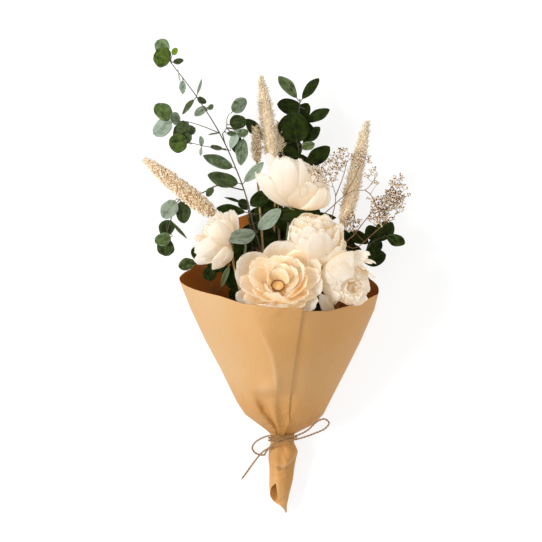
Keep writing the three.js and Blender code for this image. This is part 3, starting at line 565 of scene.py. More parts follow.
# Each petal: the place of its foot and of its tip, width, how deep it is cupped along (mm) and across
# (degrees), how far its lip curls back, how warm its colour is, and for some the side of the flower it is on,
# in degrees from the side towards the eye.
PETALS = table("""
front outer
7 -3 86 17 34.5 84 48 7 34 3 2
10 -6 88 45 15 96 46 7 32 3 2
1 -7 88 -37 11 96 46 7 30 3 2
0 -11 92 -34.5 -8 104 28 6 30 1 1
-2 -13 94 -38.5 -23 110 22 6 26 2 2
-1 -16 94 -27 -30 117 28 7 30 2 1
3 -18 94 -10 -36 124 38 8 34 2 1
8 -18 94 19 -36 124 38 8 34 2 1
12 -16 94 41 -32 118 28 6 30 2 1
12 -12 92 48.5 -12 108 32 6 30 2 1
12 -9 92 46 1 102 26 6 32 1 1
front inner
2 -9 94 -25 0 108 31 5 46 1 1
1 -4 92 -22 14 98 28 5 40 1 1
6 -6 92 12 20 95 38 5 42 2 1
3 -5 95 -3 14 103 16 2 36 2 0
8 -6 96 8 11.5 102 22 3 44 2 0
8 -7 94 29 10 103 36 5 42 1 1
8 -9 96 23 4 107 26 4 46 1 1
9 -11 95 33.5 -7 113 32 6 48 1 2
9 -14 95 31 -23 120 28 6 46 1 1
0 -16 95 -18 -20 117 26 6 40 1 0
5 -22 93 5 -28.5 124 44 9 38 1 0
11 -19 94 26 -25 121 30 7 42 1 1
5 -9 97 7 6.5 107 21 2 44 1 1
1.5 -11 97 -6.5 1 108 18 3 48 0 2
10 -12 97 24.5 -3.5 111 18 3 38 0 0
5 -20 94 1 -17.5 113 30 8 42 1 0
12 -18 97 16 -10.5 112 16 4 44 1 0
-2 -16 97 -6 -10 111 14 4 44 1 1
11 -17 95 18 -15.5 112 22 6 42 0 0
top outer
21 69 56 30 112 58 36 13 50 2 2 178
20 69 56 15 117 62 32 12 50 2 1 -125
23 69 56 44 108 64 34 12 50 2 1 125
25 68 58 54 95 70 32 10 50 2 0 80
19 67 58 -17 104 76 26 8 34 1 0 -52
14 73 62 -6 123.5 77 14 3 50 1 0 -28
23 68 60 28 113 78 38 14 48 0 0 4
24 69 60 30 110 80 28 12 50 0 2 12
25 69 60 37 104 84 46 13 56 0 1 20
26 68 60 20 117 85 36 14 50 0 1 -4
17 69 60 10.5 120 88 36 14 52 1 0 -20
28 67 60 51.5 88 80 34 11 50 0 0 58
25 65 60 41 93.5 84 50 9 40 2 1 22
top inner
22 69 58 23 111 72 26 9 60 0 1 -30
23 69 58 37 110 72 28 9 60 0 2 40
22 69 58 32 111 64 28 9 60 0 2 170
top heart
23 71 60 27 107 70 16 5 66 0 2 0
23 71 60 33 107 68 16 5 66 0 2 120
23 71 60 28 108 66 16 5 66 0 2 -120
middle outer
41 27 42 29 61 82 30 9 44 0 1 -136
43 29 42 44 60.5 82 34 9 44 0 1 -166
45 27 42 59 54 82 36 10 44 0 1 149
39 26 42 16.5 49 84 40 10 44 0 0 -95
46 26 42 68 37 82 40 11 44 1 1 99
40 24 42 19 32 80 40 13 46 0 0 -51
47 25 42 69 23 80 34 10 44 1 2 76
46 21 50 53 23 96 50 13 52 1 1 34
41 23 42 29 29 88 42 17 50 0 0 -26
middle inner
39 29 60 19 51 89 26 7 44 1 0 -11
41 30 60 29 60 88 30 7 42 1 2 7
47 31 60 47 61 90 30 7 42 1 1 20
50 27 60 63 51 90 30 7 42 1 1 56
51 23 60 68 38 91 26 7 44 0 1 83
37 26 66 22 43 94 26 8 46 0 0 -14
51 21 76 63 45 95 24 7 48 0 0 71
51 18 76 66.5 31 94 22 6 46 0 1 56
middle heart
34 39 84 27.5 56 94 14 3 42 2 2 -3
39 39 84 35 58.5 93 11 3 42 2 2 14
45 38 84 42 57 96 16 4 42 1 1 11
50 37 84 52 55 93 15 3 42 1 2 28
33 34 88 26.5 48 97 13 4 46 1 1 -7
38 35 88 34 53 99 11 4 44 1 2 18
43 34 88 44 52 99 15 4 44 1 1 20
50 32 88 55 47.5 97 15 4 46 1 1 51
39 25 90 34.5 49.5 102 22 6 48 0 0 1
48 27 91 47 47 102 13 4 46 1 1 24
38 18 86 30 37 101 20 5 48 0 0 -7
45 14 84 45 43.5 104 31 9 54 1 0 18
right outer
60 -39 92 45 -20.5 102 17 1.5 34 0 2 0
76 7 68 100.5 -3 93 12 3 40 1 2 -65
75 9 66 100 11.5 92 18 6 42 0 0 -46
69 9 64 94.5 18 92 28 9 44 0 0 -15
76 9 70 93 4 97 15 4 44 0 1 -65
70 7 62 83 8 99 44 15 48 0 0 -11
68 4 62 71 -2 107 48 19 52 0 0 13
65 -1 62 65 -15 105 42 17 54 0 0 72
73 -3 62 72 -28 99 40 10 46 1 1 134
67 -5 62 58 -25 92 26 9 46 0 1 89
74 -3 62 84 -25 97 30 9 44 1 2 169
76 -1 64 92 -12 95 30 9 44 1 1 -131
right inner
72 1 66 88 -1 99 24 8 46 0 0 -82
74 -5 70 91 -8 98 22 6 46 0 1 -108
70 -3 66 67 -7 104 26 10 52 0 0 54
70 -7 66 68.5 -19 103 26 9 52 0 0 85
62 13 88 74 -7 106 30 9 50 1 0 -1
56 -1 88 69 -11 105 22 7 50 1 0 54
66 -2.1 84.4 72.1 -7.1 102.8 14.2 5 46 1 1 28
74.5 6 82.9 76.5 -4.3 104.5 18.6 5 46 1 1 -21
83.9 3.5 82.6 81.4 -2.9 102.9 22.9 5 46 1 1 -59
92.9 -7.6 82.3 86.4 -9.6 103.4 19.9 5 46 1 1 -105
88.7 -20.5 83.9 85.9 -18.3 103.2 23 5 46 1 1 -151
83.5 -29.6 85.2 80.5 -20.1 102 23.6 5 46 1 1 167
73.3 -26.4 82.9 75.8 -18.7 104.3 18.2 5 46 1 1 124
65.3 -18.6 83.5 70.8 -15.8 101.6 19.8 5 46 1 1 84
68.9 -11.3 91.8 74.1 -12.7 103.3 17.6 3.5 46 1 0 51
77 -2.8 90.6 77.9 -7.8 104.1 11 3.5 46 1 0 -22
85.7 -6.4 90.3 82.1 -10.5 100.1 11.9 3.5 46 1 0 -79
88.9 -19.2 88.6 83.5 -16.3 103.6 11.2 3.5 46 1 0 -141
80.1 -24.5 91.5 79.4 -17.5 100.9 11.9 3.5 46 1 0 152
72.7 -24.2 91.8 76.8 -17.5 102.4 15.6 3.5 46 1 0 110
right heart
76 -10 90 83 -19 95 12 1 30 0 2 -1
74.7 -11.4 90.3 77.5 -13.5 97.9 8.2 2 46 0 1 30
81.4 -8.1 91.7 80 -13.2 95.8 6.8 2 46 0 1 -53
86.1 -13.8 90.9 81.2 -14.7 98.3 11.2 2 46 0 1 -109
82.6 -21.1 90.2 81 -17.9 99.4 7.9 2 46 0 1 -180
75.8 -20 93.3 78.2 -16.7 96.3 9.3 2 46 0 1 105
left outer
-42 37 70 -70 33 60 32 9 46 1 1 180
-42 37 72 -65 49 64 28 8 44 1 1 130
-43 32 70 -69 18 66 30 9 44 1 0 -130
-40 33 76 -38 62 78 11 1.5 36 1 0 80
-41 33 78 -42.5 66 80 12 1.5 34 1 1 75
-42 34 79 -49 63 82 16 2 38 2 0 65
-43 35 79 -57.5 63 84 18 3 40 1 1 50
-43 29 78 -52 10 80 24 6 44 1 1 -78
-43 28 79 -63 8 84 30 7 46 1 0 -66
-43 29 80 -80 14 88 22 5 42 1 0 -42
-43 37 81 -66 56 88 20 4 44 1 1 25
-44 37 82 -71.5 47 92 17 4 44 0 1 10
-45 33 85 -80 24.5 97 24 6 50 1 0 -20
-46 29 86 -63 52.5 97 23 6 50 0 0 10
-43 35 84 -54 56 93 17 3 46 0 1 20
left inner
-46 34 80 -79.5 37 86 12 2 48 1 2 150
-44 37 78 -73 43 84 18 4 44 1 2 120
-44 39 74 -67 53 82 20 4 44 1 1 110
-44 31 74 -77 23 82 22 4 44 1 1 -130
-44 31 84 -71 17 91 20 4 46 1 0 -50
left heart
-45 35 76 -71 35 78 14 4 56 0 2 0
-45 35 76 -71 33 76 14 4 56 0 2 120
-45 35 76 -71 37 76 14 4 56 0 2 -120
""")
PETAL_THICK = 0.4
PETAL_ROWS, PETAL_COLUMNS = 17, 15
RIM_WAVES = (2, 4, 7, 11, 17, 23)  # how finely its rim is ragged
NOTCHES = 2  # torn into it
SEPALS, CUP_THICK = 5, 0.5


def standing(name):
    """Where a rose stands: its foot, its axis, and the two directions across it."""
    rose = ROSES[name]
    axis = unit(np.asarray(rose["faces"], float))
    near = unit(np.array([0, 0, 1.0]) - axis * axis[2])
    return {"foot": seen(*rose["foot"]), "axis": axis, "near": near, "side": np.cross(axis, near),
            "heart": seen(*rose["heart"])}


def blade_grid(rows, columns):
    """How far along a petal or leaf (0 to 1) and across it (-1 to 1) the points of its grid are."""
    return np.linspace(0, 1, rows)[:, None], np.linspace(-1, 1, columns)[None, :]


def stood_off(foot, *parts):
    """Points that stand off a foot, so far along each direction."""
    for far, way in parts:
        foot = foot + far[..., None] * way
    return foot


def petal(batch, stand, row, seed):
    """One cupped petal, from its row."""
    luck, torn = random.Random(seed), random.Random(seed + "notch")
    foot, tip = seen(*row[:3]), seen(*row[3:6])
    width, sink, cup, lip, warm = row[6:11]
    long = np.linalg.norm(tip - foot)
    along = (tip - foot) / long
    inward = stand["heart"] - (foot + tip) / 2
    if len(row) > 11:
        inward = -spoke(math.radians(row[11]), stand["near"], stand["side"])
    inward = unit(inward - along * np.dot(inward, along))
    across = np.cross(along, inward)
    s, t = blade_grid(PETAL_ROWS, PETAL_COLUMNS)
    # The rim: rounded, ragged, and torn in a notch or two.
    ragged = sum(luck.uniform(-1, 1) * np.sin(t * k + luck.uniform(0, 6)) for k in RIM_WAVES) * 0.011
    notch = sum(torn.uniform(0.0, 0.05) * bump_at(t, torn.uniform(-0.5, 0.5), torn.uniform(0.08, 0.2))
                for _ in range(NOTCHES))
    reach = s * (1 - luck.uniform(0.26, 0.36) * np.abs(t) ** 2.7 + (ragged - notch) * s ** 2)
    half = width / 2 * (0.26 + 0.76 * np.sin(math.pi / 2 * np.clip(s / 0.62, 0, 1)) ** 0.9)
    half = half * (1 - 0.12 * np.clip((s - 0.72) / 0.28, 0, 1) ** 2)
    # Across it the petal follows an arc. Along it, it sags, ripples, is pleated and curls back at the lip.
    curve = math.radians(cup) * (0.75 + 0.25 * s) + 0.01
    sideways = half * np.sin(curve * t) / curve
    rise = half * (1 - np.cos(curve * t)) / curve
    waves = [luck.uniform(0, 6.28) for _ in range(4)]
    soft = min(width, 34) * 0.022
    ripple = np.sin(3.1 * t + waves[0]) + 0.6 * np.sin(7.3 * t + waves[1]) * s
    ripple = ripple + 0.5 * np.sin(5 * s + 4 * t + waves[2]) + 0.35 * np.sin(13 * t + 3 * s + waves[3])
    pleat = np.sin(8 * t + waves[1] + s) * np.sin(math.pi * s) * soft * 0.5
    depth = -4 * sink * reach * (1 - reach) + rise + soft * ripple * s ** 1.5 + pleat
    depth = depth - lip * np.clip((reach - 0.78) / 0.22, 0, 1) ** 2
    depth = depth + luck.uniform(-0.08, 0.08) * sideways
    place = stood_off(foot, (long * reach, along), (sideways, across), (depth, inward))
    batch.sheet(place, (t, s, luck.random()), (0.5 + luck.uniform(-0.2, 0.2), warm / 2, 0))


def petal_finish(name, rim, pale, warm, deep, edge):
    """A petal's skin: pale at the lip, warmer and darker towards its foot, partly its own colour and partly
    painted shade deep in the flower, veined, brown where its rim is frayed, and with a faint painted warm
    glow.
    """
    # The weak emission below makes the petals glow: painted light.
    skin = Finish(name, 0.7, Specular_IOR_Level=0.2, Subsurface_Weight=0.65, Subsurface_Scale=0.012,
                  Subsurface_Radius=(1.0, 0.85, 0.65), Emission_Strength=0.11)
    across, along, own = skin.read("lie")
    shade, ripe, _ = skin.read("tint")
    vein = skin.noise(skin.vector(across * 10, along * 1.2, own * 40), 2.4, 4, 0.6)
    blotch = skin.noise(skin.vector(across * 1.3, along * 1.5, own * 23), 1.7, 2)
    # Towards the foot the colour goes warmer and darker: partly the petal's own colour, partly painted shade
    # deep in the flower.
    depth = ripe * 0.35 + (1 - along) * 0.7 + (blotch - 0.5) * 0.8 + (vein - 0.5) * 0.5 + (shade - 0.5) * 0.5
    base = skin.mix(depth.within(0.0, 0.5), pale, warm)
    base = skin.mix((depth * (0.6 + ripe)).within(0.45, 1.1), base, deep)
    brink = (abs(across) ** 6).math("MAXIMUM", abs(across) ** 6 * along, along ** 9)
    base = skin.mix(brink * 0.8, base, rim)
    fray = skin.noise(skin.vector(across * 6, along * 6, own * 31), 2.5, 3, 0.7)
    line = brink.within(0.64, 0.9)
    base = skin.mix(line * (fray.within(0.3, 0.55) * 0.6), base, deep)
    skin.colour(skin.mix(line * fray.within(0.44, 0.6) * (0.5 + ripe * 1.2), base, edge))
    # The petals glow a little, warm and most near their foot: painted light that stands in for light let
    # through thin petals and lifts their shade.
    skin.join(skin.mix((depth * 0.7).within(0.0, 0.8), warm, deep), skin.shader.inputs["Emission Color"])
    skin.relief(vein, 0.6, 0.8)
    return skin.material


cream = petal_finish("cream_petal", tone(255, 250, 236), tone(255, 245, 226), tone(253, 235, 203),
                     tone(243, 207, 152), tone(176, 124, 72))
peach = petal_finish("peach_petal", tone(255, 247, 226), tone(254, 238, 204), tone(250, 220, 170),
                     tone(240, 188, 120), tone(126, 76, 36))

button = Finish("flower_button", 0.9)
speck = button.noise(button.place(), 900, 3)
_, along, _ = button.read("lie")
dark_ring = along.within(0.8, 1.0)
button_deep = button.mix(dark_ring, tone(238, 186, 112), tone(104, 68, 28))
button_pale = button.mix(dark_ring, tone(248, 208, 144), tone(150, 104, 50))
button.colour(button.mix(speck.within(0.35, 0.7), button_deep, button_pale))
button.relief(speck, 0.6)

sepal = Finish("sepal", 0.7)
across, along, own = sepal.read("lie")
sepal_cloud = sepal.noise(sepal.vector(across * 4, along * 3, own), 2, 3)
sepal.colour(sepal.mix(sepal_cloud, tone(98, 104, 62), tone(160, 148, 100)))


def round_body(batch, stand, profile, lie_long):
    """A body turned round a rose's axis, from rows of radius and height."""
    spin = np.linspace(0, 2 * math.pi, 25)[None, :]
    r, h = np.array(profile)[:, :1], np.array(profile)[:, 1:]
    place = stood_off(stand["foot"], (r * np.cos(spin), stand["side"]), (r * np.sin(spin), stand["near"]),
                      (h, stand["axis"]))
    batch.sheet(place, (spin / math.pi - 1, np.array(lie_long)[:, None], 0.5), (0.5, 0, 0))


def green_cup(batch, stand):
    """The receptacle, and its five short sepals under the outer petals."""
    profile = [(0.1, -4.4), (1.6, -4.2), (2.4, -3), (3.8, -1.4), (4.8, 0.6), (4.2, 1.8), (0.1, 2.2)]
    round_body(batch, stand, profile, np.linspace(0, 1, len(profile)))
    s, t = blade_grid(8, 5)
    outward, sideways, high = 3.4 + 8 * s, 3.0 * np.sin(s * 2.6) * t, 1.8 * s ** 1.6 + 0.5 * t ** 2 - 0.8
    for k in range(SEPALS):
        out = spoke(2 * math.pi * k / SEPALS + 0.4, stand["side"], stand["near"])
        across = np.cross(stand["axis"], out)
        place = stood_off(stand["foot"], (outward, out), (sideways, across), (high, stand["axis"]))
        batch.sheet(place, (t, s, 0.2 * k), (0.5, 0, 0))


ROSE_PARTS = (("outer", "cream_petals", "outer_petals"), ("inner", "cream_petals", "inner_petals"),
              ("heart", "flower_hearts", "heart"))
for name, rose in ROSES.items():
    stand = standing(name)
    for part, slot, cad in ROSE_PARTS:
        if f"{name} {part}" in PETALS:
            batch = Gathering()
            for k, row in enumerate(PETALS[f"{name} {part}"]):
                petal(batch, stand, row, f"{name}{part}{k}")
            skin = peach if name == "front" and part == "inner" else cream
            batch.piece(f"{name}_rose_{part}", [skin], slot, [f"{rose['node']}_{cad}"], PETAL_THICK)
    ends = [stand["foot"] - stand["axis"] * under for under in (12, 3)]
    grow_stem(f"{name}_rose_stem", f"{rose['node']}_stem", rose, ends, green_stem, 1.3, 0.12, 1.3, 0.4)
    cup = Gathering()
    green_cup(cup, stand)
    cup.piece(f"{name}_rose_cup", [sepal.material], "stems", thick=CUP_THICK)

# The open front rose shows its heart: a tan button in a ring of small dark beads.
BUTTON_HIGH = 16.5  # above the foot
BUTTON_WIDE = 6.0
BEADS = 44
stand = standing("front")
heart = Gathering()
rings = [0.02, 0.2, 0.4, 0.6, 0.75, 0.88, 0.96, 1.0]
round_body(heart, stand, [(BUTTON_WIDE * q, BUTTON_HIGH + 1.5 * (1 - q ** 2.4)) for q in rings], rings)
luck = random.Random(4)
for k in range(BEADS):
    out = spoke(2 * math.pi * (k + luck.uniform(-0.3, 0.3)) / BEADS, stand["side"], stand["near"])
    low = stand["foot"] + out * 5.4 + stand["axis"] * (BUTTON_HIGH - 2)
    far, up = luck.uniform(5.9, 6.7), luck.uniform(0.3, 1.2)
    high = stand["foot"] + out * far + stand["axis"] * (BUTTON_HIGH + up)
    bead = luck.uniform(0.55, 1.3)
    heart.tube([low, (low + high) / 2, high], [0.22 * bead, 0.28 * bead, 0.45 * bead], 5, luck.random())
heart.piece("front_rose_heart", [button.material], "flower_hearts", ["rose_front_heart"], 0.3)


# ======== Plumes and millet ========
# Dry grass heads on straw stems. A plume is a spindle of soft bristly spikelets, and a millet head is packed
# with clusters of small hard seeds.
HEADS = {
    "millet_left": {"base": (-61, 61, 47), "tip": (-131.5, 117.3, 58), "radius": 8.4, "slot": (-1.5, 1),
        "way": [(-14, -90, 32), (-38, 0, 44)], "seeds": 1500},
    "plume_centre": {"base": (-1, 114, 47), "tip": (-13.4, 199.5, 60), "radius": 9, "slot": (0, 0),
        "way": [(2, -60, 34), (0, 40, 36)], "spikelets": 2600, "fade": 0},
    "plume_short": {"base": (3, 106, 36), "tip": (5, 153, 44), "radius": 7.5, "slot": (0.5, -1),
        "way": [(8, -60, 24), (5, 40, 28)], "spikelets": 1100, "fade": 0},
    "plume_right": {"base": (70, 50, 49), "tip": (94, 155.5, 60), "radius": 9, "slot": (2, 0),
        "way": [(44, -70, 30), (64, 10, 37)], "spikelets": 3000, "fade": 1.4},
    "millet_small": {"base": (-17, 114, 48), "tip": (-18.2, 149, 52), "radius": 4.6, "slot": (-0.5, -1),
        "way": [(-4, -60, 32), (-12, 40, 41)], "seeds": 420},
}
GOLDEN_TURN = math.pi * (3 - math.sqrt(5))
TUFT_EVERY, CLUSTER_SEEDS = 6, 15


def head_width(share):
    """A head's width along it, 1 where it is widest."""
    return np.interp(share, [0, 0.08, 0.3, 0.65, 0.88, 1], [0.5, 0.84, 1, 0.88, 0.48, 0.06])


def square_to(way, hint=(0, 0, 1.0)):
    """Two directions square to a way and to each other, the first square to the hint too."""
    side = unit(np.cross(way, hint))
    return side, np.cross(way, side)


def needle(batch, foot, tip, width, lie, tint, sides=4):
    """A spindle of a few faces from foot to tip, widest near its foot."""
    side, face = square_to(unit(tip - foot), (0.3, 0.5, 0.81))
    waist = foot + (tip - foot) * 0.38
    ring = [waist + width / 2 * spoke(a, side, face) for a in np.arange(sides) * 2 * math.pi / sides]
    faces = []
    for k in range(sides):
        n = (k + 1) % sides
        faces += [(0, 2 + n, 2 + k, 0), (1, 2 + k, 2 + n, 1)]
    batch.add([foot, tip, *ring], faces, lie, tint)


def head_core(batch, base, tip, radius, end, points, shade):
    """The close middle of a head. Returns the head's length, its axis and the two directions across it."""
    long = np.linalg.norm(tip - base)
    axis = (tip - base) / long
    core = np.array([base + axis * long * s for s in np.linspace(-0.01, end, points)])
    batch.tube(core, radius * head_width(np.linspace(0, 1, points)), 10, 0.2, (shade, 0, 0))
    return long, axis, *square_to(axis)


def plume(batch, base, tip, radius, count, fade, seed):
    """Soft short spikelets, with a tuft of longer bristles among every few."""
    luck = random.Random(seed)
    long, axis, side, face = head_core(batch, base, tip, radius * 0.62, 0.97, 24, 0.3)
    for i in range(count):
        share = (i + luck.random()) / count
        full = float(head_width(share))
        out = spoke(i * GOLDEN_TURN + luck.uniform(-0.3, 0.3), side, face)
        foot = base + axis * long * share * 0.98 + out * (radius * full) * luck.uniform(0.4, 0.74)
        way = out * luck.uniform(0.4, 0.8) + axis * luck.uniform(0.6, 1.1)
        tall = luck.uniform(2.0, 3.8) * (0.5 + 0.5 * full)
        pale = luck.uniform(0.15, 0.95) + 0.3 * (share - 0.5) * fade
        needle(batch, foot, foot + way * tall, luck.uniform(0.4, 0.75), luck.random(), (pale, 0, 0))
        if i % TUFT_EVERY == 0:
            awn = out * luck.uniform(0.7, 1.1) + axis * luck.uniform(0.3, 1.2)
            reach = luck.uniform(2.6, 5.8) * (0.6 + 0.4 * full)
            for _ in range(3):
                stray = np.array([luck.uniform(-0.5, 0.5) for _ in range(3)])
                needle(batch, foot + stray, foot + awn * reach + stray * 0.7, luck.uniform(0.5, 0.85),
                       luck.random(), (luck.uniform(0.3, 1.0), 0, 0), 3)


def seed_shape():
    """One small round grain of twenty faces, modelled once and copied."""
    bpy.ops.object.select_all(action="DESELECT")
    bpy.ops.mesh.primitive_ico_sphere_add(subdivisions=1, radius=1)
    grain = bpy.context.object
    points = np.array([v.co for v in grain.data.vertices])
    faces = [(*p.vertices, p.vertices[0]) for p in grain.data.polygons]
    bpy.data.objects.remove(grain)
    return points, np.array(faces)


GRAIN_POINTS, GRAIN_FACES = seed_shape()


def grain(batch, middle, size, way, luck, tint, stretch):
    """A copy of the grain, stretched along its way."""
    way = unit(way)
    turn = np.stack([*square_to(way, (0.2, 0.6, 0.77)), way * stretch], axis=0)
    batch.add(GRAIN_POINTS @ turn * size + middle, GRAIN_FACES, (0, 0, luck.random()), tint)


def any_way(luck):
    return unit(np.array([luck.gauss(0, 1) for _ in range(3)]))


def millet(batch, base, tip, radius, count, seed):
    """Clusters of seeds in a spiral up the head, with thin bristles between them."""
    luck = random.Random(seed)
    long, axis, side, face = head_core(batch, base, tip, radius * 0.6, 0.96, 20, 0.1)
    clusters = count // 12
    for c in range(clusters):
        share = (c + 0.5) / clusters
        out = spoke(c * GOLDEN_TURN, side, face)
        width = radius * float(head_width(share))
        middle = base + axis * long * share * 0.97 + out * width * 0.6
        for _ in range(CLUSTER_SEEDS):
            way = unit(any_way(luck) + out * 0.55 + axis * 0.2)
            grain(batch, middle + way * (0.42 * width + 0.5), luck.uniform(0.5, 0.78), way + axis * 0.9, luck,
                  (luck.uniform(0.15, 1.0), 0, 0), 1.7)
    for _ in range(count // 2):
        share = luck.random()
        out = spoke(luck.uniform(0, 6.28), side, face)
        foot = base + axis * long * share * 0.97 + out * radius * 0.6 * float(head_width(share))
        needle(batch, foot, foot + (out * 0.9 + axis * 0.7) * luck.uniform(3.2, 5.6), 0.5, 0.5,
               (luck.random(), 0, 0), 3)


def dry_finish(name, dark, middle, pale):
    """Dry bristle or seed, from dark to pale by its own shade."""
    dry = Finish(name, 0.9, Specular_IOR_Level=0.2)
    shade, _, _ = dry.read("tint")
    mottle = dry.noise(dry.place(), 420, 2)
    level = (shade * 0.8 + (mottle - 0.5) * 0.6 + 0.1).clamped()
    dry.colour(dry.mix(level.within(0.0, 0.5), dark, dry.mix(level.within(0.45, 1.0), middle, pale)))
    return dry.material


plume_fluff = dry_finish("plume_fluff", tone(232, 196, 146), tone(254, 236, 206), tone(255, 250, 236))
millet_grain = dry_finish("millet_grain", tone(196, 156, 108), tone(250, 228, 192), tone(255, 248, 232))

for name, head in HEADS.items():
    base, tip = seen(*head["base"]), seen(*head["tip"])
    body = Gathering()
    if "seeds" in head:
        millet(body, base, tip, head["radius"], head["seeds"], name)
        body.piece(f"{name}_seeds", [millet_grain], "millet_seeds", [f"{name}_head"])
    else:
        plume(body, base, tip, head["radius"], head["spikelets"], head["fade"], name)
        body.piece(f"{name}_fluff", [plume_fluff], "plumes", [f"{name}_head"])
    axis = unit(tip - base)
    ends = [base - axis * 14, base + axis * 2]
    grow_stem(f"{name}_straw", f"{name}_stem", head, ends, straw, 1.15, 0.1, 1.7, 0.7)


# ======== Eucalyptus and dark greenery ========
# Preserved branches. Each leaf sits on a short stalk at a joint of its branch: small dusty grey-green ones on
# the eucalyptus, broad dark ones on the four others.
BRANCHES = {
    "eucalyptus_main": {"slot": (-1, 0), "radius": 1.2, "line": [
        (-2, -90, 34), (-9, -20, 49), (-13.4, 25.4, 58), (-19, 43.5, 63), (-28.7, 81, 66), (-41, 113.4, 68),
        (-54.5, 142, 68), (-77.5, 178.5, 64), (-103.5, 213, 57)]},
    "eucalyptus_twig_upper_left": {"from": (-54.5, 142, 68), "radius": 0.5, "line": [
        (-72, 149, 67), (-88, 153.6, 66), (-98, 154, 64)]},
    "eucalyptus_twig_lower_left": {"from": (-48, 126, 68), "radius": 0.5, "line": [
        (-70, 129, 68), (-86, 133, 68)]},
    "eucalyptus_twig_right": {"from": (-51.5, 141.5, 68), "radius": 0.45, "line": [
        (-47.5, 147, 72), (-47, 157, 75), (-44, 162, 76)]},
    "eucalyptus_twig_drooping": {"from": (-31, 85, 66), "radius": 0.8, "line": [
        (-56, 89.5, 56), (-72, 82, 44), (-96, 74, 40), (-103, 56, 40), (-107, 42, 38)]},
    "greenery_top": {"slot": (0, -2), "radius": 1.3, "line": [
        (14, -80, 14), (22, -10, 22), (24, 60, 28), (25, 110, 34), (24, 145, 40), (26, 176, 44)]},
    "greenery_right": {"slot": (1.5, -1), "radius": 1.2, "line": [
        (50, -66, 18), (80, -4, 24), (97, 32, 32), (110, 38, 36)]},
    "greenery_left": {"slot": (-2, 0), "radius": 1.2, "line": [
        (-28, -90, 26), (-56, -30, 34), (-70, 8, 38), (-78, 14, 39)]},
    # Most of these leaves lie deep in the bouquet as nearly black painted shade.
    "greenery_inner": {"slot": (-1.5, -1), "radius": 1.1, "line": [
        (-18, -90, 18), (-22, -20, 24), (-22, 30, 32), (-26, 66, 44)]},
}
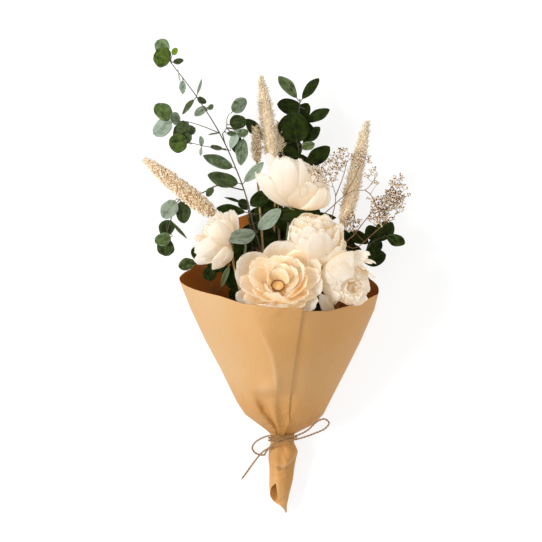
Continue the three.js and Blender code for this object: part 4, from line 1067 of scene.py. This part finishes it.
# Each leaf: the place of its foot and of its tip, width, roll in degrees, how pale, and for some how yellow.
# Some lie deep in the bouquet, nearly black, only as painted shade in its gaps.
LEAVES = table("""
eucalyptus_main
-16 43 66 -45 33.5 92 15 -12 0.8
-18 43.5 63 6.8 66 66 14 10 0.85
-32.5 91 66.5 -67 99 62 15 -14 0.28
-38 106.5 68 -71.5 118.5 66 13 16 0.5
-31.5 91 66.5 -11 113 72 10 20 0.85
-50 125 68 -63 130 64 5 50 0.4
-54 142 68 -66 140.5 66 3 60 0.5
-66 168 66 -80 160 60 9.5 28 0.7
-66 165 66 -61 170.5 68 5 0 0.5
-78.5 177 64 -92.5 161.5 60 7 30 0.45
-77.5 179 64 -72 196 68 3.5 40 0.9
-77.5 178 64 -68 171.5 62 6.5 0 0.3
-91 196 60 -92 181 55 7.5 20 0.75
-102 212.5 57 -90.5 215 58 6 20 0.3
-102 214 57 -120 221 58 20 8 0.22 0.55
-106 221 56 -117 235 52 15 0 0.62 0.5
-102 219.5 58 -97 227 58 6 0 0.6 1.8
-96 205 59 -94 193 64 2.2 60 0.8
eucalyptus_twig_upper_left
-101 155 64 -119 170.5 64 16 0 0.48 0.45
-100 154 65 -121.5 142 60 17 8 0.85
-93 153 65 -104 159 72 12 20 0.62
-90 152 66 -95 133 58 17 10 0.2
-86 150 66 -98 146 68 12 0 0.38
-88 149 64 -80 141 62 10 0 0.45
-92 154 66 -86 144 70 9 20 0.3
eucalyptus_twig_lower_left
-85 134 68 -105 130 66 19 0 0.22 0.4
-84 131 67 -92 142 66 12 0 0.35
-72 128.5 68 -73 139 74 5.5 30 0.9
-72 128.5 68 -74 119 62 4 40 0.85
-50 125.5 68 -64 129 66 5.5 20 0.35
eucalyptus_twig_right
-43 162 76 -28 176 78 13 0 0.62
-46 150 75 -28 156 76 14 6 0.13
-38 141 73 -25.5 142.5 74 8.5 0 0.55
-44 124 69 -36 147.5 72 9 -20 0.98
-40 145 68 -36 121 62 12 0 0.1
-30 139 70 -35 110 68 13 12 0.6
-48 142 70 -38 141 72 5 0 0.5
eucalyptus_twig_drooping
-60 88 52 -68 79 48 7 0 0.4
-97.5 76 40 -111 57 44 16 0 0.85
-94 76 40 -88 52 36 15 -10 0.3
-103.5 55 40 -87 36 34 4.5 40 0.4
-106 38 39 -109 55 34 16 0 0.12
-107 38 38 -110 19 32 18 8 0.2
-101.5 39 42 -119 32.5 43 13 0 0.5 0.35
greenery_top
25 174 44 6 200 46 12 10 0.72
26 173 44 44 197.5 48 10.5 -10 0.3
32 166 40 3 170 42 16 4 0.15
28 152 41 56 164.5 48 12 -12 0.35
24 128 40 17 162 52 30 0 0.15
27 130 37 45.5 148 44 11.5 0 0.25
26 126 36 40 132 46 9 10 0.75
30 116 35 1 126 44 17 8 0.1
28 107 34 56.5 127 38 16 0 0.12
24 112 34 10 138 34 24 0 0.08
26 140 36 36 152 34 20 0 0.1
-8 132 40 -27 157 42 12 0 0.08
22 100 34 30 120 32 24 0 0.08
22 150 38 34 172 38 14 0 0.08
greenery_right
98 33 32 119 52 34 18 0 0.2
110 40 36 130.5 30.5 38 12 0 0.5
91 20 29 108 34 26 15 0 0.12
86 13 28 112.5 18.8 24 16 0 0.2
97 30 32 76 44 28 13 0 0.15
90 14 30 72 28 26 16 0 0.08
100 32 30 96 50 30 13 0 0.15
84 8 26 62 50 22 18 0 0.05
greenery_left
-76 14 39 -95.5 8 40 12 10 0.6
-74 14 38.5 -81 27 44 10 0 0.45
-70 8 38 -60 -4 42 14 0 0.15
-54 -15 36 -45 9 50 6 12 0.95
-68 4 36 -48 18 36 18 0 0.05
greenery_inner
-22 26 31 -2 52 36 20 0 0.15
-25 62 42 -57 68 50 11 0 0.42
-26 68 44 -6 82 50 15 0 0.4
-21 -12 26 -38 -26 38 16 0 0.02
-22 4 28 -40 22 34 18 0 0.08
-22 0 27 4 20 34 20 0 0.05
-22 40 33 2 34 38 22 0 0.1
-23 46 35 -12 66 38 18 0 0.12
-21 -16 26 2 4 36 22 0 0.04
-21 18 29 -44 12 34 18 0 0.03
-22 36 33 -42 31 36 14 0 0.02
-22 34 32 2 54 34 16 0 0.03
-24 58 40 4 70 42 16 0 0.18
-25 64 43 -34 76 40 10 0 0.1
-26 70 44 -49 78 52 3.5 40 0.1
-20 -20 25 -22 4 40 20 0 0.04
22 58 36 62 58 40 10 0 0.15
-6 60 60 38 60 66 15 0 0.1
16 40 34 8 66 36 20 0 0.06
20 30 34 46 66 32 20 0 0.08
44 -36 30 48 -12 60 18 0 0.04
30 -30 30 52 -26 66 20 0 0.04
40 -30 30 30 0 40 20 0 0.04
-10 30 18 -34 44 20 26 0 0.03
0 30 18 26 52 20 26 0 0.04
-8 0 18 -34 24 20 26 0 0.03
0 46 18 -4 76 20 26 0 0.04
6 56 18 34 70 20 24 0 0.05
-12 -30 20 -30 0 22 26 0 0.02
-12 16 22 -44 30 26 20 0 0.02
-20 -20 22 -50 8 26 22 0 0.02
-14 -32 22 -44 -14 28 20 0 0.02
10 20 18 30 40 20 28 0 0.03
""")
LEAF_ROWS, LEAF_COLUMNS, LEAF_THICK = 17, 13, 0.35
EUCALYPTUS = {"stalk": 0.1, "belly": 0.92, "blunt": 0.45, "sag": 0.1, "fold": 0.12, "ripple": 0.025,
              "yellow": 0.1}
BROAD = {"stalk": 0.12, "belly": 1.1, "blunt": 0.48, "sag": 0.12, "fold": 0.2, "ripple": 0.03, "yellow": 0.15}


def leaf(blades, stalks, line, row, kind, seed):
    """One leaf on its stalk, from its row."""
    luck = random.Random(seed)
    foot, tip = seen(*row[:3]), seen(*row[3:6])
    width, roll, pale = row[6], math.radians(row[7]), row[8]
    yellow = row[9] if len(row) > 9 else kind["yellow"]
    long = np.linalg.norm(tip - foot)
    along = (tip - foot) / long
    side, face = square_to(along, (0, 0, -1.0))
    side, face = side * math.cos(roll) + face * math.sin(roll), face * math.cos(roll) - side * math.sin(roll)
    s, t = blade_grid(LEAF_ROWS, LEAF_COLUMNS)
    # Narrow leaves come to a point, round ones don't.
    pointed = kind["blunt"] + 0.4 * max(0.0, 1 - width / long / 0.8)
    swell = np.clip(np.sin(math.pi * s ** kind["belly"]), 0, 1) ** pointed
    half = width / 2 * (0.03 + 0.97 * swell)
    half = half * (1 + 0.05 * np.sin(s * 8 + luck.uniform(0, 6)) * np.sign(t))
    forward = long * (kind["stalk"] + (1 - kind["stalk"]) * s)
    # It sags towards its tip, is folded along its rib, and is a little rippled, twisted and bent.
    sag = luck.uniform(0.3, 1.3) * kind["sag"] * long
    lift = -sag * s ** 2 + sag * 0.45 * s
    fold = kind["fold"] * half * np.abs(t) ** 1.3 * (1 - 0.5 * s)
    phase = luck.uniform(0, 6)
    ripple = kind["ripple"] * width * np.sin(3.1 * s * math.pi + 2 * t + phase) * np.abs(t) ** 1.5
    twist = luck.uniform(-0.25, 0.25) * half * t * s
    bend = luck.uniform(-0.06, 0.06) * long * s ** 2
    place = stood_off(foot, (forward, along), (half * t + bend, side), (lift + fold + ripple + twist, face))
    blades.sheet(place, (t, s, luck.random()), (pale, yellow, 0))
    # The stalk leaves the nearest point of the branch.
    rib = place[:, LEAF_COLUMNS // 2]
    joint = line[np.argmin(np.linalg.norm(line - foot, axis=1))]
    far = np.linalg.norm(joint - foot)
    if far < 1.0:
        stalks.tube([foot, rib[0], rib[3]], [0.5, 0.38, 0.15], 5, 0.5)
    else:
        knee = joint * 0.45 + foot * 0.55 - along * far * 0.12
        route = smooth_line([joint, knee, foot, rib[0], rib[3]], 1.5)
        stalks.tube(route, np.linspace(0.6, 0.2, len(route)), 5, 0.5)


def leaf_finish(name, dark, mid, pale, rib, roughness, wax):
    """A leaf's skin: dark to pale by the leaf's own tint, waxy specks, a midrib and faint side ribs."""
    blade = Finish(name, roughness, Specular_IOR_Level=0.1)
    across, along, own = blade.read("lie")
    tint, yellow, _ = blade.read("tint")
    cloud = blade.noise(blade.vector(across * 1.5, along * 2.2, own * 31), 1.6, 3)
    speck = blade.noise(blade.place(), 420, 4, 0.7)
    level = (tint + (cloud - 0.5) * 0.7 + (speck - 0.5) * wax + (abs(across) - 0.5) * 0.12).clamped()
    base = blade.mix(level.within(0.0, 0.6), dark, mid)
    base = blade.mix(level.within(0.42, 1.0), base, pale)
    slant = along * 9 - abs(across) * 2.2
    side_rib = (1 - abs((slant * math.pi).sine()) * 5).clamped() * (1 - abs(across)) * 0.35
    rib_line = (1 - abs(across) * 13).clamped() * 0.7
    ribs = side_rib.math("MAXIMUM", rib_line, side_rib)
    base = blade.mix(ribs * 0.5, base, rib)
    blade.colour(blade.mix(yellow * cloud.within(0.2, 0.7) * 0.8, base, tone(112, 140, 34)))
    blade.rough((roughness + (speck - 0.5) * 0.3).clamped())
    blade.relief(cloud * 0.8 + speck * 0.25 - ribs, 0.5, 0.8)
    return blade.material


eucalyptus_top = leaf_finish("eucalyptus_top", tone(24, 34, 8), tone(72, 84, 54), tone(158, 172, 156),
                             tone(126, 136, 98), 0.65, 0.4)
eucalyptus_under = leaf_finish("eucalyptus_under", tone(98, 112, 84), tone(134, 148, 122),
                               tone(182, 192, 176), tone(168, 176, 146), 0.75, 0.3)
# The darkest tone is near black: partly the leaves' own dark green, partly painted shade, and all that the
# deep leaves show.
broad_top = leaf_finish("broad_top", tone(4, 10, 0), tone(14, 27, 0), tone(116, 130, 92), tone(38, 56, 12),
                        0.65, 0.15)
broad_under = leaf_finish("broad_under", tone(50, 66, 34), tone(84, 102, 58), tone(150, 160, 128),
                          tone(120, 132, 84), 0.65, 0.2)

LOOKS = {
    "eucalyptus": (EUCALYPTUS, [eucalyptus_under, eucalyptus_top], "eucalyptus_leaves"),
    "greenery": (BROAD, [broad_under, broad_top], "dark_leaves"),
}
for name, branch in BRANCHES.items():
    kind, skins, slot = LOOKS[name.split("_")[0]]
    blades, stalks = Gathering(), Gathering()
    if "slot" in branch:
        line, ends = stem_route(branch["slot"], branch["line"]), (1, 0.35)
    else:
        line, ends = [seen(*p) for p in [branch["from"], *branch["line"]]], (0.9, 0.6)
    line = smooth_line(line, 4)
    stalks.tube(line, branch["radius"] * np.linspace(*ends, len(line)), 7, 0.3)
    for k, row in enumerate(LEAVES[name]):
        leaf(blades, stalks, line, row, kind, f"{name}{k}")
    blades.piece(f"{name}_leaves", skins, slot, [name], LEAF_THICK)
    stalks.piece(f"{name}_wood", [brown_twig], "stems")


# ======== Sprays of dried buds ========
# Two finely branched sprays, each twig ending in a clump of small cream buds with brown tips on hair-thin
# stalks. Each clump: its middle, half its width and height as seen, and how many twigs end in it.
SPRAYS = {
    "bud_spray_upper": {
        "slot": (1, 0), "line": [(26, -80, 26), (40, -10, 26), (46, 40, 32), (48.5, 60, 44)],
        "arms": [[(48.5, 60, 44), (60, 70, 56), (70, 79, 62), (81, 85, 68), (91, 85, 70), (100, 95, 72),
                  (103.5, 101, 73)],
                 [(46, 40, 32), (57, 56, 48), (61.6, 79, 64), (58.5, 90, 74), (57, 97, 80)],
                 [(61.6, 79, 64), (69, 98, 70), (73.5, 115, 73)], [(70, 79, 62), (80, 96, 68), (87, 112, 72)],
                 [(91, 85, 70), (97, 80, 70), (101, 72.5, 70)]],
        "clumps": [((51, 102, 84), 15, 11, 26), ((66.5, 115, 75), 10.5, 9.5, 17), ((87, 113, 72), 8.5, 8, 10),
                   ((99, 98, 72), 6, 10, 6), ((99, 74, 70), 4, 3, 2)],
    },
    "bud_spray_right": {
        "slot": (1.5, 1), "line": [(44, -80, 36), (60, -14, 42), (70, 30, 46), (80, 40, 50)],
        "arms": [[(80, 40, 50), (96, 61, 60), (107, 74, 66), (116, 86, 68), (123, 95, 69)],
                 [(70, 30, 46), (81, 27, 50), (101, 43, 58), (113.5, 53, 62), (121, 56, 64)],
                 [(96, 61, 60), (108, 64, 66), (120, 72, 68), (132, 79, 68)],
                 [(80, 40, 50), (79, 50, 56), (81, 60, 58)]],
        "clumps": [((104, 58, 64), 10, 10, 24), ((113, 68, 67), 14, 15, 46), ((121, 79, 69), 11, 13, 34),
                   ((124, 94, 69), 4, 6, 5), ((132, 79, 68), 1.5, 1.5, 1), ((78, 51, 58), 8, 10, 15)],
    },
}
bud_skin = Finish("dried_bud", 0.85, Specular_IOR_Level=0.2)
shade, ripe, _ = bud_skin.read("tint")
mottle = bud_skin.noise(bud_skin.place(), 700, 2)
bud_base = bud_skin.mix((shade + (mottle - 0.5) * 0.6).clamped(), tone(226, 192, 152), tone(255, 244, 224))
bud_skin.colour(bud_skin.mix(ripe, bud_base, tone(54, 30, 12)))

bud_twig = stem_finish("bud_twig", tone(168, 124, 80), tone(104, 68, 40))
UP_PICTURE = np.array([0, 1.0, 0.15])
BUDS_TO_A_TWIG = (4, 5, 5, 6)

for name, spray in SPRAYS.items():
    luck = random.Random(name)
    buds, twigs = Gathering(), Gathering()
    line = smooth_line(stem_route(spray["slot"], spray["line"]), 5)
    twigs.tube(line, np.linspace(1.0, 0.6, len(line)), 6, 0.2)
    joints = []
    for way in spray["arms"]:
        arm = smooth_line([seen(*p) for p in way], 3)
        twigs.tube(arm, np.linspace(0.55, 0.3, len(arm)), 5, luck.random())
        joints += list(arm[2:])
    for middle, half_u, half_v, count in spray["clumps"]:
        ends = []
        for k in range(count):
            reach, turn = math.sqrt((k + 0.5) / count), k * GOLDEN_TURN + luck.uniform(-0.5, 0.5)
            u, v = middle[0] + half_u * reach * math.cos(turn), middle[1] + half_v * reach * math.sin(turn)
            ends.append(seen(u, v, middle[2] + luck.uniform(-7, 7) * (1.1 - reach)))
        # Every twig leaves the nearest joint that is lower on the spray, the lowest twigs first.
        for end in sorted(ends, key=lambda p: p[1]):
            far = [np.linalg.norm(end - q) for q in joints]
            gaps = [d + 3 * max(0.0, 0.45 * d - (end[1] - q[1])) for d, q in zip(far, joints)]
            root = joints[int(np.argmin(gaps))]
            stray = [luck.uniform(-0.8, 0.8), luck.uniform(-0.6, 0.2), luck.uniform(-0.5, 0.5)]
            knee = (root + end) / 2 + np.array(stray)
            twigs.tube([root, knee, end], [0.24, 0.2, 0.15], 4, luck.random())
            joints += [knee, end]
            grow = unit((end - root) / max(np.linalg.norm(end - root), 1.0) + UP_PICTURE * 0.6)
            for _ in range(luck.choice(BUDS_TO_A_TWIG)):
                way = unit(any_way(luck) * 0.9 + grow)
                bud = end + way * luck.uniform(1.4, 2.9)
                twigs.tube([end, (end + bud) / 2, bud], [0.14, 0.12, 0.12], 3, 0.5)
                grain(buds, bud + way * 0.5, luck.uniform(0.7, 1.05), way, luck,
                      (luck.uniform(0.1, 1.0), 0, 0), 1.2)
                grain(buds, bud + way * 1.5, luck.uniform(0.5, 0.72), way, luck, (0.2, 1.0, 0), 0.9)
    buds.piece(f"{name}_buds", [bud_skin.material], "dried_buds", [name])
    twigs.piece(f"{name}_twigs", [bud_twig], "stems")


# ======== The table and the light ========
# A plain pale table, a soft lamp from the left, a weak wide one from the right, and an even pale room.
bpy.ops.mesh.primitive_plane_add(size=12, location=(0, 0, -0.0002))
table_top = bpy.context.object
table_top.name = "table_top"
table_skin = Finish("pale_table", 1.0, Specular_IOR_Level=0.0, Emission_Color=(1.0, 1.0, 1.0),
                    Emission_Strength=0.74)
table_skin.colour((0.32, 0.32, 0.32))
table_top.data.materials.append(table_skin.material)

# Each lamp: its place and size in metres, and its power in watts.
LAMPS = (("key_lamp", (-1.8, 0.2, 1.75), 0.7, 40), ("fill_lamp", (1.2, -0.6, 2.2), 2.0, 6))
for lamp_name, spot, size, power in LAMPS:
    bpy.ops.object.light_add(type="AREA", location=spot)
    lamp = bpy.context.object
    lamp.name = lamp_name
    lamp.data.size = size
    lamp.data.energy = power
    lamp.visible_camera = False
    lamp.rotation_mode = "QUATERNION"
    lamp.rotation_quaternion = (-Vector(spot)).to_track_quat("-Z", "Y")
world = bpy.context.scene.world or bpy.data.worlds.new("room")
bpy.context.scene.world = world
world.use_nodes = True
room_light = world.node_tree.nodes["Background"].inputs
room_light["Color"].default_value = (1, 1, 1, 1)
room_light["Strength"].default_value = 0.7
bpy.context.scene.view_settings.view_transform = "Standard"
bpy.context.scene.view_settings.look = "None"
